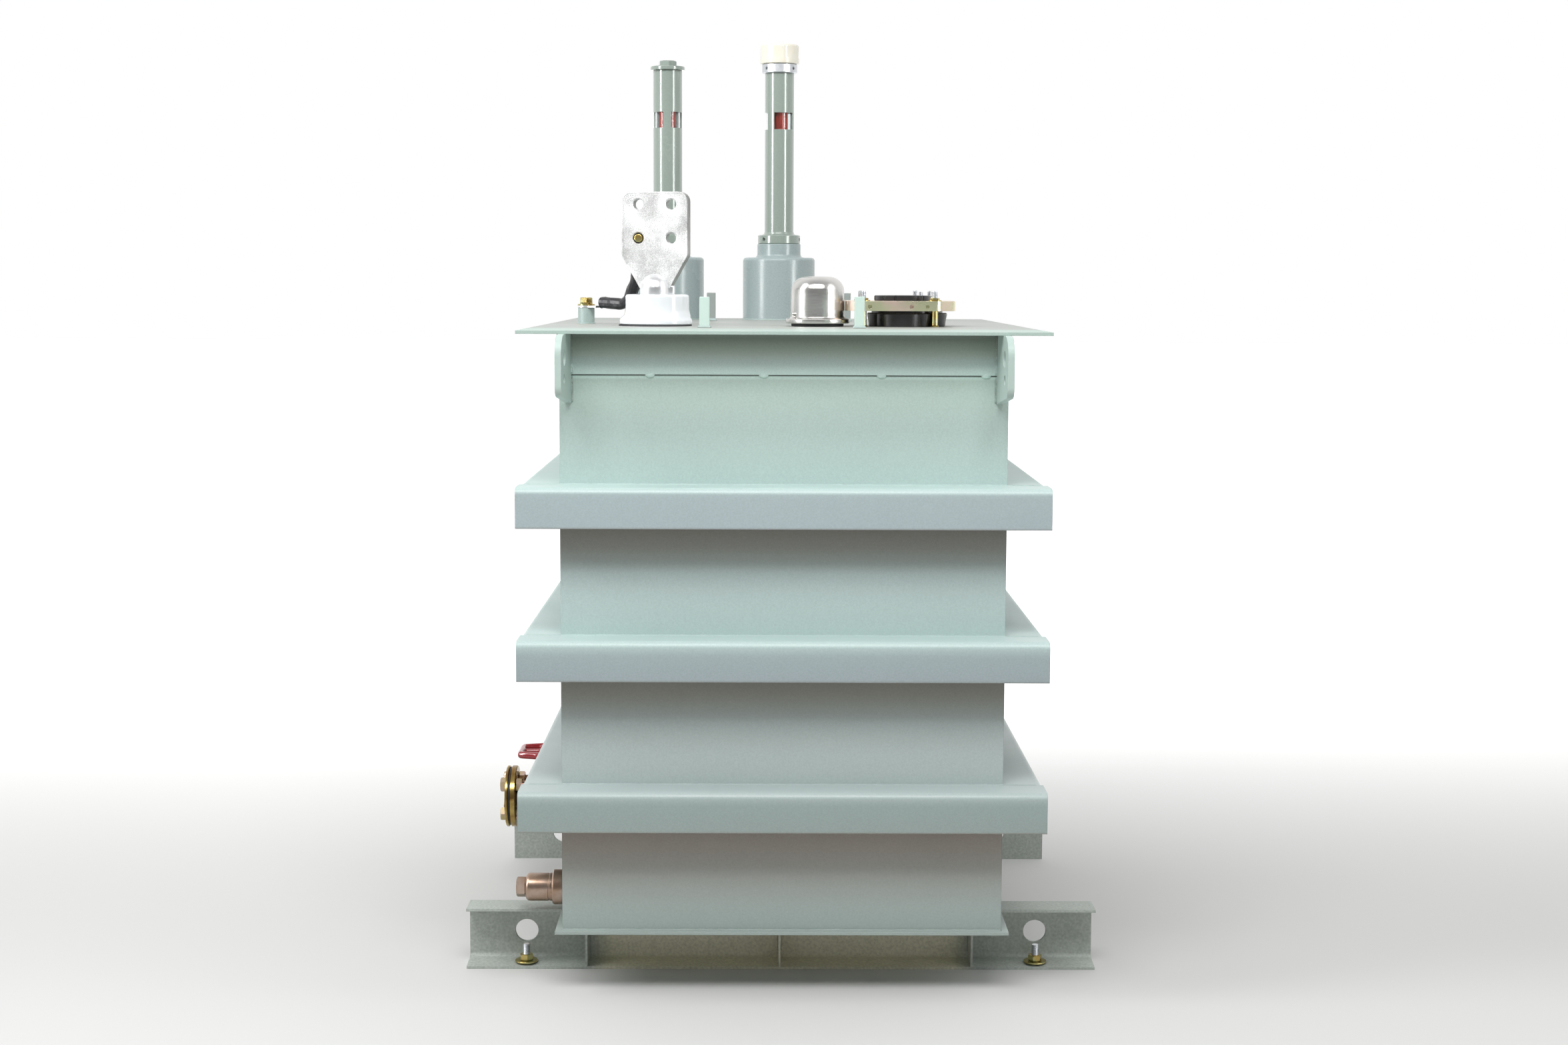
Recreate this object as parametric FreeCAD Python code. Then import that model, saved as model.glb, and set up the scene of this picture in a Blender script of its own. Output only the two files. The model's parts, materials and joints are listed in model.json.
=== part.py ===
"""Oil-immersed power transformer: welded box tank with three stiffener rings, a welded cover with its
fittings, two base channels, a drain plug and a flanged drain valve with a handwheel.

Millimetres, +Z up, front towards -Y. The origin is on the ground, at the centre of the base."""
import FreeCAD, Part
import math
import os

V = FreeCAD.Vector
X_AXIS = V(1, 0, 0)
Y_AXIS = V(0, 1, 0)
Z_AXIS = V(0, 0, 1)

# ---- driving dimensions ----------------------------------------------------------------------------
TANK_W = 550.0            # outside width of the tank, along X
TANK_D = 830.0            # outside depth of the tank, along Y
WALL = 4.0                # tank wall, cover and bottom plate
BEAM_H = 80.0             # base channel: height, flange width, web
BEAM_FLANGE = 43.0
BEAM_WEB = 5.0
BEAM_LENGTH = 820.0
BEAM_BACK_Y = 264.0       # from the centre to the back of each web
BOTTOM_LIP = 9.0          # bottom plate beyond the walls
TANK_TOP = 830.0          # underside of the cover
COVER_LIP = 48.0          # cover beyond the walls
RING_OUT = 50.0           # stiffener rings: projection and height
RING_H = 50.0
RING_TOPS = {"lower": 270.0, "middle": 457.5, "upper": 645.0}
RING_STEEL = 4.0
RING_BEND = 8.0
BAND_H = 50.0             # flat bar round the tank under the cover
BAND_T = 2.5
LUG_T = 8.0
LUG_OUT = 85.0
LUG_INNER_X = 260.0
LUG_SPLAY = 3.3           # degrees, outwards

HALF_W = TANK_W / 2
HALF_D = TANK_D / 2
PLATE_Z = BEAM_H          # underside of the bottom plate
FLOOR_Z = PLATE_Z + WALL  # top of the bottom plate
COVER_Z = TANK_TOP + WALL # top of the cover


# ---- helpers ---------------------------------------------------------------------------------------
def box(x0, x1, y0, y1, z0, z1):
    """A box from its lowest to its highest corner."""
    return Part.makeBox(x1 - x0, y1 - y0, z1 - z0, V(x0, y0, z0))


def rod(x, y, z, length, radius, axis=Z_AXIS):
    """A cylinder that starts at a point and runs along an axis."""
    return Part.makeCylinder(radius, length, V(x, y, z), axis)


def tube(x, y, z, length, outer, inner):
    return rod(x, y, z, length, outer).cut(rod(x, y, z, length, inner))


def prism(points, vector):
    """A flat outline, given as corners in space, pushed along a vector."""
    return Part.Face(Part.makePolygon(points + [points[0]])).extrude(vector)


def turned(x, y, z, profile, axis=Z_AXIS):
    """A solid of revolution. The profile is (radius, height) corners, measured from (x, y, z) along axis."""
    side = Y_AXIS if abs(axis.x) > 0.5 else X_AXIS
    base = V(x, y, z)
    corners = [base + side * r + axis * h for r, h in profile]
    return Part.Face(Part.makePolygon(corners + [corners[0]])).revolve(base, axis, 360)


def hexagon(x, y, z, height, flats, axis=Z_AXIS, turn=0.0):
    """A hexagonal prism with a given width across flats."""
    across, up = (Y_AXIS, Z_AXIS) if abs(axis.x) > 0.5 else (X_AXIS, Y_AXIS)
    if abs(axis.y) > 0.5:
        across, up = X_AXIS, Z_AXIS
    radius = flats / math.sqrt(3)
    corners = []
    for i in range(6):
        a = math.radians(60 * i + turn)
        corners.append(V(x, y, z) + across * (radius * math.cos(a)) + up * (radius * math.sin(a)))
    return prism(corners, axis * height)


def round_edges(shape, radius, wanted):
    """Fillet each edge for which wanted(edge) is true."""
    return shape.makeFillet(radius, [e for e in shape.Edges if wanted(e)])


def edge_at(y=None, z=None):
    """A test for straight edges along X that lie at a given y and z."""
    def test(edge):
        a, b = edge.Vertexes[0].Point, edge.Vertexes[-1].Point
        along_x = abs(a.y - b.y) < 1e-6 and abs(a.z - b.z) < 1e-6 and abs(a.x - b.x) > 1
        return along_x and abs(a.y - y) < 1e-6 and abs(a.z - z) < 1e-6
    return test


def mirrored_y(shape):
    return shape.mirror(V(0, 0, 0), Y_AXIS)


def mirrored_x(shape):
    return shape.mirror(V(0, 0, 0), X_AXIS)


def save(node, *solids):
    """Write one node; several solids that don't touch may share it."""
    shape = solids[0] if len(solids) == 1 else Part.makeCompound(list(solids))
    shape.exportStep("parts/%s.step" % node)


# ---- tank ------------------------------------------------------------------------------------------
def tank():
    height = (FLOOR_Z, TANK_TOP)
    front = box(-HALF_W, HALF_W, -HALF_D, -HALF_D + WALL, *height)
    left = box(-HALF_W, -HALF_W + WALL, -HALF_D + WALL, HALF_D - WALL, *height)
    save("tank_front", front)
    save("tank_rear", mirrored_y(front))
    save("tank_left", left)
    save("tank_right", mirrored_x(left))

    lip_x, lip_y = HALF_W + BOTTOM_LIP, HALF_D + BOTTOM_LIP
    save("bottom_plate", box(-lip_x, lip_x, -lip_y, lip_y, PLATE_Z, FLOOR_Z))
    lip_x, lip_y = HALF_W + COVER_LIP, HALF_D + COVER_LIP
    save("cover_plate", box(-lip_x, lip_x, -lip_y, lip_y, TANK_TOP, COVER_Z))


def band():
    """Flat bar round the top of the tank, one piece a side."""
    z0 = TANK_TOP - BAND_H
    front = box(-HALF_W - BAND_T, HALF_W + BAND_T, -HALF_D - BAND_T, -HALF_D, z0, TANK_TOP)
    left = box(-HALF_W - BAND_T, -HALF_W, -HALF_D, HALF_D, z0, TANK_TOP)
    save("top_band_front_rear", front, mirrored_y(front))
    save("top_band_sides", left, mirrored_x(left))


def stiffener_bar(half_length, z0):
    """Formed channel along X, open towards +Y, its back at y = -RING_OUT, with closed ends."""
    z1 = z0 + RING_H
    skin = RING_STEEL
    bar = box(-half_length, half_length, -RING_OUT, 0, z0, z1)
    bar = round_edges(bar, RING_BEND, edge_at(-RING_OUT, z1))
    hollow = box(-half_length + skin, half_length - skin, -RING_OUT + skin, 0, z0 + skin, z1 - skin)
    return bar.cut(hollow)


def stiffeners():
    for level, top in RING_TOPS.items():
        front = stiffener_bar(HALF_W + RING_OUT, top - RING_H)
        front.translate(V(0, -HALF_D, 0))
        left = stiffener_bar(HALF_D, top - RING_H)
        left.rotate(V(0, 0, 0), Z_AXIS, -90)
        left.translate(V(-HALF_W, 0, 0))
        save("%s_stiffener_front_rear" % level, front, mirrored_y(front))
        save("%s_stiffener_sides" % level, left, mirrored_x(left))


# ---- lifting lugs ----------------------------------------------------------------------------------
LUG_FOOT_Z = 745.0        # lower corner at the wall
LUG_NOSE_Z = 757.0        # lower corner at the front
LUG_HOLES = [(58.0, 802.0, 10.0), (60.0, 777.0, 6.0)]   # distance from the wall, height, radius


def lug():
    """Front left lug: a plate along Y, splayed outwards, with a shackle hole and a smaller one."""
    nose, top = 12.0, 25.0
    out = -LUG_OUT
    slope = (LUG_NOSE_Z - LUG_FOOT_Z) / LUG_OUT
    low = [V(0, 0, LUG_FOOT_Z), V(0, out + nose, LUG_NOSE_Z - slope * nose)]
    nose_mid = V(0, out + nose * 0.29, LUG_NOSE_Z + nose * 0.22)
    nose_end = V(0, out, LUG_NOSE_Z + nose)
    top_start = V(0, out, TANK_TOP - top)
    top_mid = V(0, out + top * 0.293, TANK_TOP - top * 0.293)
    top_end = V(0, out + top, TANK_TOP)
    edges = [
        Part.makeLine(low[0], low[1]),
        Part.Arc(low[1], nose_mid, nose_end).toShape(),
        Part.makeLine(nose_end, top_start),
        Part.Arc(top_start, top_mid, top_end).toShape(),
        Part.makeLine(top_end, V(0, 0, TANK_TOP)),
        Part.makeLine(V(0, 0, TANK_TOP), low[0]),
    ]
    plate = Part.Face(Part.Wire(edges)).extrude(V(-LUG_T, 0, 0))
    for out_y, z, radius in LUG_HOLES:
        plate = plate.cut(rod(-LUG_T - 1, -out_y, z, LUG_T + 2, radius, X_AXIS))
    plate.rotate(V(0, 0, 0), Z_AXIS, -LUG_SPLAY)
    plate.translate(V(-LUG_INNER_X, -HALF_D, 0))
    room = box(-HALF_W - BAND_T, 0, -HALF_D, 0, 0, TANK_TOP)
    room = room.fuse(box(-HALF_W - BAND_T, 0, -HALF_D - BAND_T, 0, TANK_TOP - BAND_H, TANK_TOP))
    return plate.cut(room)


def lugs():
    front_left = lug()
    front_right = mirrored_x(front_left)
    save("lifting_lugs_front", front_left, front_right)
    save("lifting_lugs_rear", mirrored_y(front_left), mirrored_y(front_right))


# ---- base channels ---------------------------------------------------------------------------------
FLANGE_TIP = 3.5
FLANGE_ROOT = 6.5
ROOT_ROUND = 6.0
LIFT_HOLE_X, LIFT_HOLE_Z, LIFT_HOLE_R = 335.0, 41.0, 15.0
RIB_XS = (-254.0, -2.0, 249.0)
RIB_T = 3.0
STUD_X = 333.5
STUD_FROM_TIP = 15.5      # from the flange's edge to the middle of the stud


def flange_z(out):
    """Height of the lower flange's sloping face, at a distance from the web's back."""
    run = (out - BEAM_WEB) / (BEAM_FLANGE - BEAM_WEB)
    return FLANGE_ROOT + (FLANGE_TIP - FLANGE_ROOT) * run


def section(corners, x, length):
    """An outline of (distance from the web's back, height) corners, as a bar along X."""
    return prism([V(x, -BEAM_BACK_Y - d, z) for d, z in corners], V(length, 0, 0))


def base():
    outline = [(0, 0), (BEAM_FLANGE, 0), (BEAM_FLANGE, FLANGE_TIP), (BEAM_WEB, FLANGE_ROOT),
               (BEAM_WEB, BEAM_H - FLANGE_ROOT), (BEAM_FLANGE, BEAM_H - FLANGE_TIP),
               (BEAM_FLANGE, BEAM_H), (0, BEAM_H)]
    beam = section(outline, -BEAM_LENGTH / 2, BEAM_LENGTH)
    web_y = -BEAM_BACK_Y - BEAM_WEB
    for z in (FLANGE_ROOT, BEAM_H - FLANGE_ROOT):
        beam = round_edges(beam, ROOT_ROUND, edge_at(web_y, z))
    for x in (-LIFT_HOLE_X, LIFT_HOLE_X):
        beam = beam.cut(rod(x, web_y - 1, LIFT_HOLE_Z, BEAM_WEB + 2, LIFT_HOLE_R, Y_AXIS))
    save("base_channel_front", beam)
    save("base_channel_rear", mirrored_y(beam))

    clear = ROOT_ROUND + 1
    inner = BEAM_WEB + clear
    rib_outline = [(BEAM_WEB, FLANGE_ROOT + clear), (inner, flange_z(inner)),
                   (BEAM_FLANGE, FLANGE_TIP), (BEAM_FLANGE, BEAM_H - FLANGE_TIP),
                   (inner, BEAM_H - flange_z(inner)), (BEAM_WEB, BEAM_H - FLANGE_ROOT - clear)]
    ribs = [section(rib_outline, x - RIB_T / 2, RIB_T) for x in RIB_XS]
    save("channel_ribs", *(ribs + [mirrored_y(r) for r in ribs]))


def foot_studs():
    """Earthing studs on the lower flanges, each with a broad washer and a nut."""
    y = -BEAM_BACK_Y - BEAM_FLANGE + STUD_FROM_TIP
    washer_r, washer_t, nut_h, top = 15.0, 2.0, 8.0, 29.5
    seat = flange_z(BEAM_FLANGE - STUD_FROM_TIP - washer_r) + 0.4
    studs, nuts = [], []
    for x in (-STUD_X, STUD_X):
        foot = rod(x, y, flange_z(BEAM_FLANGE) - 1, seat - flange_z(BEAM_FLANGE) + 1, 12.0)
        bolt = rod(x, y, seat, top - seat, 5.0)
        studs.append(foot.cut(channel_lower_flange()).fuse(bolt))
        nut = hexagon(x, y, seat + washer_t, nut_h, 16.0, turn=12).fuse(rod(x, y, seat, washer_t, washer_r))
        nuts.append(nut.cut(rod(x, y, seat - 1, 20, 5.0)))
    save("earth_studs", *(studs + [mirrored_y(s) for s in studs]))
    save("earth_nuts", *(nuts + [mirrored_y(s) for s in nuts]))


def channel_lower_flange():
    outline = [(0, 0), (BEAM_FLANGE, 0), (BEAM_FLANGE, FLANGE_TIP), (BEAM_WEB, FLANGE_ROOT), (0, FLANGE_ROOT)]
    return section(outline, -BEAM_LENGTH / 2, BEAM_LENGTH)


# ---- low-voltage bushing with its palm -------------------------------------------------------------
BUSHING_X, BUSHING_Y = -170.0, 260.0 - HALF_D
BUSHING_SEAT = 2.0        # gasket under the porcelain
PORCELAIN_H = 42.0        # top of the porcelain above the cover
PALM_TURN = 11.0          # degrees about the bushing's axis
PALM_T = 18.0
PALM_FRONT = 4.0          # front face ahead of the bushing's axis
PALM_W = 90.0
PALM_NECK_W = 41.0
PALM_LOW, PALM_SHOULDER, PALM_TOP = 50.0, 93.0, 177.0    # heights above the cover
PALM_CORNER = 13.0
PALM_HOLE_R = 7.15
PALM_PITCH = 44.45
PALM_HOLE_TOP = 160.4


def to_bushing(shape):
    """Turn a shape made at the origin, facing -Y, and set it on the bushing's axis."""
    shape.rotate(V(0, 0, 0), Z_AXIS, -PALM_TURN)
    shape.translate(V(BUSHING_X, BUSHING_Y, COVER_Z))
    return shape


def palm():
    half, neck = PALM_W / 2, PALM_NECK_W / 2
    bend = PALM_CORNER * (1 - math.sqrt(0.5))
    y = -PALM_FRONT
    right = [V(neck, y, PALM_LOW), V(half, y, PALM_SHOULDER), V(half, y, PALM_TOP - PALM_CORNER)]
    corner_mid = V(half - bend, y, PALM_TOP - bend)
    corner_end = V(half - PALM_CORNER, y, PALM_TOP)

    def across(p):
        return V(-p.x, p.y, p.z)

    edges = [
        Part.makeLine(right[0], right[1]),
        Part.makeLine(right[1], right[2]),
        Part.Arc(right[2], corner_mid, corner_end).toShape(),
        Part.makeLine(corner_end, across(corner_end)),
        Part.Arc(across(corner_end), across(corner_mid), across(right[2])).toShape(),
        Part.makeLine(across(right[2]), across(right[1])),
        Part.makeLine(across(right[1]), across(right[0])),
        Part.makeLine(across(right[0]), right[0]),
    ]
    plate = Part.Face(Part.Wire(edges)).extrude(V(0, PALM_T, 0))
    for x in (-PALM_PITCH / 2, PALM_PITCH / 2):
        for z in (PALM_HOLE_TOP, PALM_HOLE_TOP - PALM_PITCH):
            plate = plate.cut(rod(x, y - 1, z, PALM_T + 2, PALM_HOLE_R, Y_AXIS))
    return plate.cut(clamp_boss())


def clamp_boss():
    """Round-topped boss that grips the bushing's stem, at the origin."""
    radius, centre = 20.0, 49.0
    boss = rod(0, 0, PORCELAIN_H, centre - PORCELAIN_H, radius)
    return boss.fuse(Part.makeSphere(radius, V(0, 0, centre)).common(rod(0, 0, centre, radius, radius)))


def bushing():
    save("bushing_gasket", rod(BUSHING_X, BUSHING_Y, COVER_Z, BUSHING_SEAT, 49.5))
    skirt, body, top = 48.5, 42.0, PORCELAIN_H
    profile = [(0, BUSHING_SEAT), (skirt - 1, BUSHING_SEAT), (skirt, 3), (skirt, 7), (skirt - 2.3, 11),
               (body + 1, 18), (body, 22), (body, top - 4), (body - 1.2, top - 1.2), (body - 4, top),
               (0, top)]
    save("bushing_porcelain", turned(BUSHING_X, BUSHING_Y, COVER_Z, profile))
    save("terminal_clamp", to_bushing(clamp_boss()))
    save("terminal_palm", to_bushing(palm()))


# ---- earthing boss and bonding strap ---------------------------------------------------------------
BOSS_X, BOSS_Y = -273.0, 403.0 - HALF_D
BOSS_R, BOSS_H = 11.5, 22.0
LUG_PLATE_T = 3.0
STRAP_R = 8.0
BOND_Z = PALM_HOLE_TOP - PALM_PITCH     # height of the bonded palm hole above the cover
STRAP_ROUTE = [V(-257.0, -26.0, 28.0), V(-222.0, -52.0, 27.5), V(-205.0, -84.0, 66.0),
               V(-190.0, -127.5, 90.0), V(-187.6, -129.0, 105.0)]


def strap_path(points):
    """Straight runs joined by arcs that are tangent to both."""
    edges = []
    start = points[0]
    for i in range(1, len(points) - 1):
        before, here, after = points[i - 1], points[i], points[i + 1]
        run_in, run_out = here - before, after - here
        turn = run_in.getAngle(run_out)
        cut = 0.45 * min(run_in.Length, run_out.Length)
        print("strap bend radius", round(cut / math.tan(turn / 2), 1))
        u_in = V(run_in).normalize()
        u_out = V(run_out).normalize()
        p_in, p_out = here - u_in * cut, here + u_out * cut
        inward = (u_out - u_in).normalize()
        depth = cut / math.tan(turn / 2)
        mid = here + inward * (depth / math.cos(turn / 2) - depth)
        edges.append(Part.makeLine(start, p_in))
        edges.append(Part.Arc(p_in, mid, p_out).toShape())
        start = p_out
    edges.append(Part.makeLine(start, points[-1]))
    return Part.Wire(edges)


def strap():
    route = [V(p.x, p.y, p.z + COVER_Z) for p in STRAP_ROUTE]
    path = strap_path(route)
    ring = Part.Wire([Part.makeCircle(STRAP_R, route[0], route[1] - route[0])])
    body = path.makePipeShell([ring], True, True)
    print("strap volume ratio", round(body.Volume / (math.pi * STRAP_R ** 2 * path.Length), 4))
    save("bonding_strap", body)

    top = COVER_Z + BOSS_H
    save("earth_boss", rod(BOSS_X, BOSS_Y, COVER_Z, BOSS_H, BOSS_R))
    tongue_end = V(route[0].x, route[0].y, 0)
    along = (tongue_end - V(BOSS_X, BOSS_Y, 0)).normalize()
    side = V(-along.y, along.x, 0) * 6.5
    a, b = V(BOSS_X, BOSS_Y, top), V(tongue_end.x, tongue_end.y, top) - along * 0.5
    tongue = prism([a - side, b - side, b + side, a + side], V(0, 0, LUG_PLATE_T))
    eye = rod(BOSS_X, BOSS_Y, top, LUG_PLATE_T, 12.5).fuse(tongue).removeSplitter()
    earth_end = eye.cut(body)
    seat = top + LUG_PLATE_T
    bolt = rod(BOSS_X, BOSS_Y, seat, 2.0, 12.0).fuse(rod(BOSS_X, BOSS_Y, seat + 2, 2.2, 9.0))
    save("earth_bolt", bolt.fuse(hexagon(BOSS_X, BOSS_Y, seat + 4.2, 6.8, 17.0, turn=8)))

    back = PALM_T - PALM_FRONT
    x = -PALM_PITCH / 2
    tab = box(x - 10, x + 10, back, back + 3, BOND_Z - 22, BOND_Z + 12)
    tab = tab.cut(rod(x, back - 1, BOND_Z, 5, 5.5, Y_AXIS))
    save("strap_lugs", earth_end, to_bushing(tab).cut(body))
    shank = rod(x, -PALM_FRONT + 2, BOND_Z, back + 3 + PALM_FRONT - 2, 5.0, Y_AXIS)
    head = rod(x, back + 3, BOND_Z, 2, 10.0, Y_AXIS)
    head = head.fuse(hexagon(x, back + 5, BOND_Z, 6.4, 17.0, axis=Y_AXIS))
    save("palm_bolt", to_bushing(shank.fuse(head)))


# ---- gauges ----------------------------------------------------------------------------------------
GAUGE_Y = 790.0 - HALF_D
GAUGE_XS = (-175.8, -2.6)
PEDESTAL_R, PEDESTAL_H, PEDESTAL_WALL = 56.0, 96.0, 6.0
NECK_R, NECK_TOP = 33.7, 117.0
COLLAR_R, COLLAR_TOP = 33.0, 131.0
SHEATH_R, SHEATH_BORE = 22.5, 19.8
SHEATH_TOPS = (382.5, 379.0)
WINDOWS = ((294.5, 318.5), (292.7, 318.1))
WINDOW_TURNS = (-90.0, -128.0)          # angle of the first bar between windows
WINDOW_BAR = 32.0                       # angle that each of the three bars takes
GLASS_R, GLASS_BORE = 19.5, 17.5
FLOAT_R, FLOAT_STEM_R = 13.0, 3.0
FLOAT_SPARE = 20.0                      # the float beyond the window, above and below


def wedge(x, y, z0, z1, reach, start, end):
    """A pie slice, for cutting a window through a tube's wall."""
    a, b = math.radians(start), math.radians(end)
    m = (a + b) / 2
    far = reach / math.cos((b - a) / 2)
    corners = [V(x, y, z0)]
    for angle, size in ((a, reach), (m, far), (b, reach)):
        corners.append(V(x + size * math.cos(angle), y + size * math.sin(angle), z0))
    return prism(corners, V(0, 0, z1 - z0))


def gauge_sheath(x, top, window, first_bar):
    profile = [(SHEATH_BORE, 0), (COLLAR_R - 1, 0), (COLLAR_R, 1), (COLLAR_R, COLLAR_TOP - NECK_TOP - 1),
               (COLLAR_R - 1, COLLAR_TOP - NECK_TOP), (SHEATH_R + 3, COLLAR_TOP - NECK_TOP),
               (SHEATH_R, COLLAR_TOP - NECK_TOP + 4), (SHEATH_R, top - NECK_TOP),
               (SHEATH_BORE, top - NECK_TOP)]
    sheath = turned(x, GAUGE_Y, COVER_Z + NECK_TOP, profile)
    for i in range(3):
        start = first_bar + 120 * i + WINDOW_BAR / 2
        sheath = sheath.cut(wedge(x, GAUGE_Y, COVER_Z + window[0], COVER_Z + window[1], 40, start,
                                  start + 120 - WINDOW_BAR))
    return sheath


def gauges():
    pedestals, sheaths, glasses, floats = [], [], [], []
    for x, top, window, turn in zip(GAUGE_XS, SHEATH_TOPS, WINDOWS, WINDOW_TURNS):
        inner = PEDESTAL_R - PEDESTAL_WALL
        pedestals.append(turned(x, GAUGE_Y, COVER_Z, [
            (inner, 0), (PEDESTAL_R, 0), (PEDESTAL_R, PEDESTAL_H - 5), (PEDESTAL_R - 1.5, PEDESTAL_H - 1.5),
            (PEDESTAL_R - 5, PEDESTAL_H), (NECK_R, PEDESTAL_H), (NECK_R, NECK_TOP), (0, NECK_TOP),
            (0, PEDESTAL_H - PEDESTAL_WALL), (inner, PEDESTAL_H - PEDESTAL_WALL)]))
        sheaths.append(gauge_sheath(x, top, window, turn))
        base_z = COVER_Z + NECK_TOP
        glasses.append(tube(x, GAUGE_Y, base_z, top - NECK_TOP, GLASS_R, GLASS_BORE))
        float_z = COVER_Z + window[0] - FLOAT_SPARE
        stem = rod(x, GAUGE_Y, base_z, float_z - base_z, FLOAT_STEM_R)
        floats.append(stem.fuse(rod(x, GAUGE_Y, float_z, window[1] - window[0] + 2 * FLOAT_SPARE, FLOAT_R)))
    save("gauge_pedestals", *pedestals)
    save("gauge_sheaths", *sheaths)
    save("gauge_glasses", *glasses)
    save("gauge_indicators", *floats)

    x, z = GAUGE_XS[0], COVER_Z + SHEATH_TOPS[0]
    plug = turned(x, GAUGE_Y, z, [(0, 0), (SHEATH_R, 0), (26.5, 0.6), (26.5, 6), (0, 6)])
    save("gauge_plug", plug.fuse(hexagon(x, GAUGE_Y, z + 6, 9, 26.0, turn=10)))
    x, z = GAUGE_XS[1], COVER_Z + SHEATH_TOPS[1]
    save("gauge_lock_ring", rod(x, GAUGE_Y, z, 14, 27.0))
    cap = [(0, 0), (29.5, 0), (30, 0.5), (30, 26), (27.5, 29.5), (0, 29.5)]
    save("gauge_end_cap", turned(x, GAUGE_Y, z + 14, cap))


# ---- pressure relief dome --------------------------------------------------------------------------
DOME_X, DOME_Y = 46.3, 270.0 - HALF_D
DOME_R, DOME_FLANGE_R, DOME_TOP = 36.0, 43.0, 66.5
DOME_CURVE, DOME_SKIN = 18.0, 2.5


def dome():
    save("relief_gasket", rod(DOME_X, DOME_Y, COVER_Z, 4, 34.0))
    profile = [(DOME_R - DOME_SKIN, 4), (DOME_FLANGE_R - 1, 4), (DOME_FLANGE_R, 5), (DOME_FLANGE_R, 10),
               (DOME_R + 2, 11.5), (DOME_R, 15)]
    profile += dome_shoulder(0)
    profile += [(0, DOME_TOP), (0, DOME_TOP - DOME_SKIN)]
    profile += reversed(dome_shoulder(DOME_SKIN))
    save("relief_dome", turned(DOME_X, DOME_Y, COVER_Z, profile))


def dome_shoulder(inset):
    """Rounded corner between the dome's wall and its top, as (radius, height) corners."""
    centre_r, centre_z = DOME_R - DOME_CURVE, DOME_TOP - DOME_CURVE
    corners = []
    for i in range(7):
        a = math.radians(15 * i)
        r = DOME_CURVE - inset
        corners.append((centre_r + r * math.cos(a), centre_z + r * math.sin(a)))
    return corners


# ---- high-voltage bushing well with its clamping plate ---------------------------------------------
WELL_X, WELL_Y = 162.0, 300.0 - HALF_D
WELL_BODY_X, WELL_BODY_R = 168.0, 54.0
WELL_LOBE_X, WELL_LOBE_R, WELL_LOBE_OUT = 160.0, 35.5, 24.0   # rounded front of the body
PLATE_HALF, PLATE_CUT = 73.0, 24.0
PLATE_LOW, PLATE_HIGH = 21.2, 34.2
PLATE_X = 156.5
STUD_MID_X, STUD_PITCH = 154.5, 47.5    # middle of the studs, and from there both ways
WELL_TOP = 41.5


def bushing_well():
    wide, top = WELL_BODY_R, PLATE_LOW - 3
    profile = [(0, 0), (wide - 2.5, 0), (wide, top), (wide - 6, top), (wide - 6, PLATE_LOW), (0, PLATE_LOW)]
    body = turned(WELL_BODY_X, WELL_Y, COVER_Z, profile)
    lobe = [(0, 0), (WELL_LOBE_R - 1, 0), (WELL_LOBE_R, top), (0, top)]
    save("well_body", body.fuse(turned(WELL_LOBE_X, WELL_Y - WELL_LOBE_OUT, COVER_Z, lobe)))
    h, c = PLATE_HALF, PLATE_HALF - PLATE_CUT
    corners = [(-h, -c), (-c, -h), (c, -h), (h, -c), (h, c), (c, h), (-c, h), (-h, c)]
    plate = prism([V(PLATE_X + x, WELL_Y + y, COVER_Z + PLATE_LOW) for x, y in corners],
                  V(0, 0, PLATE_HIGH - PLATE_LOW))
    plate = plate.cut(rod(WELL_X, WELL_Y, COVER_Z + PLATE_LOW - 1, PLATE_HIGH, 33.0))
    studs, nuts = [], []
    for dx in (-STUD_PITCH, STUD_PITCH):
        for dy in (-STUD_PITCH, STUD_PITCH):
            x, y = STUD_MID_X + dx, WELL_Y + dy
            plate = plate.cut(rod(x, y, COVER_Z, 60, 4.0))
            studs.append(rod(x, y, COVER_Z, PLATE_HIGH + 13, 4.0))
            washer = tube(x, y, COVER_Z + PLATE_HIGH, 1.6, 9.0, 4.0)
            nut = hexagon(x, y, COVER_Z + PLATE_HIGH + 1.6, 3.0, 12.0, turn=20)
            nuts.append(washer.fuse(nut.cut(rod(x, y, COVER_Z, 60, 4.0))))
    save("well_clamp_plate", plate)
    save("well_studs", *[stud.fuse(nut) for stud, nut in zip(studs, nuts)])
    cap = [(0, PLATE_LOW), (33, PLATE_LOW), (33, PLATE_HIGH), (38.5, PLATE_HIGH), (38.5, WELL_TOP - 1.5),
           (37, WELL_TOP), (28, WELL_TOP), (26, WELL_TOP - 3), (0, WELL_TOP - 3)]
    save("well_cap", turned(WELL_X, WELL_Y, COVER_Z, cap))


# ---- cover posts -----------------------------------------------------------------------------------
POST_SIDE = 13.0
POSTS = ((-101.9, -250.0, 39.5), (98.3, -250.0, 40.5), (-105.2, 250.0, 42.0), (98.5, 250.0, 42.0))


def posts():
    half = POST_SIDE / 2
    blocks = []
    for x, y, height in POSTS:
        blocks.append(box(x - half, x + half, y - half, y + half, COVER_Z, COVER_Z + height))
    save("cover_posts", *blocks)


# ---- drain plug ------------------------------------------------------------------------------------
PLUG_Y, PLUG_Z = 100.0 - HALF_D, 112.0


def drain_plug():
    left = V(-1, 0, 0)
    save("drain_coupling", rod(-HALF_W, PLUG_Y, PLUG_Z, 21, 22.5, left))
    profile = [(0, 21), (18, 21), (18, 50), (16.5, 54.5), (13, 57), (0, 57)]
    body = turned(-HALF_W, PLUG_Y, PLUG_Z, profile, left)
    save("drain_plug", body.fuse(hexagon(-HALF_W - 57, PLUG_Y, PLUG_Z, 11, 23.0, left, 30)))


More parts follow.
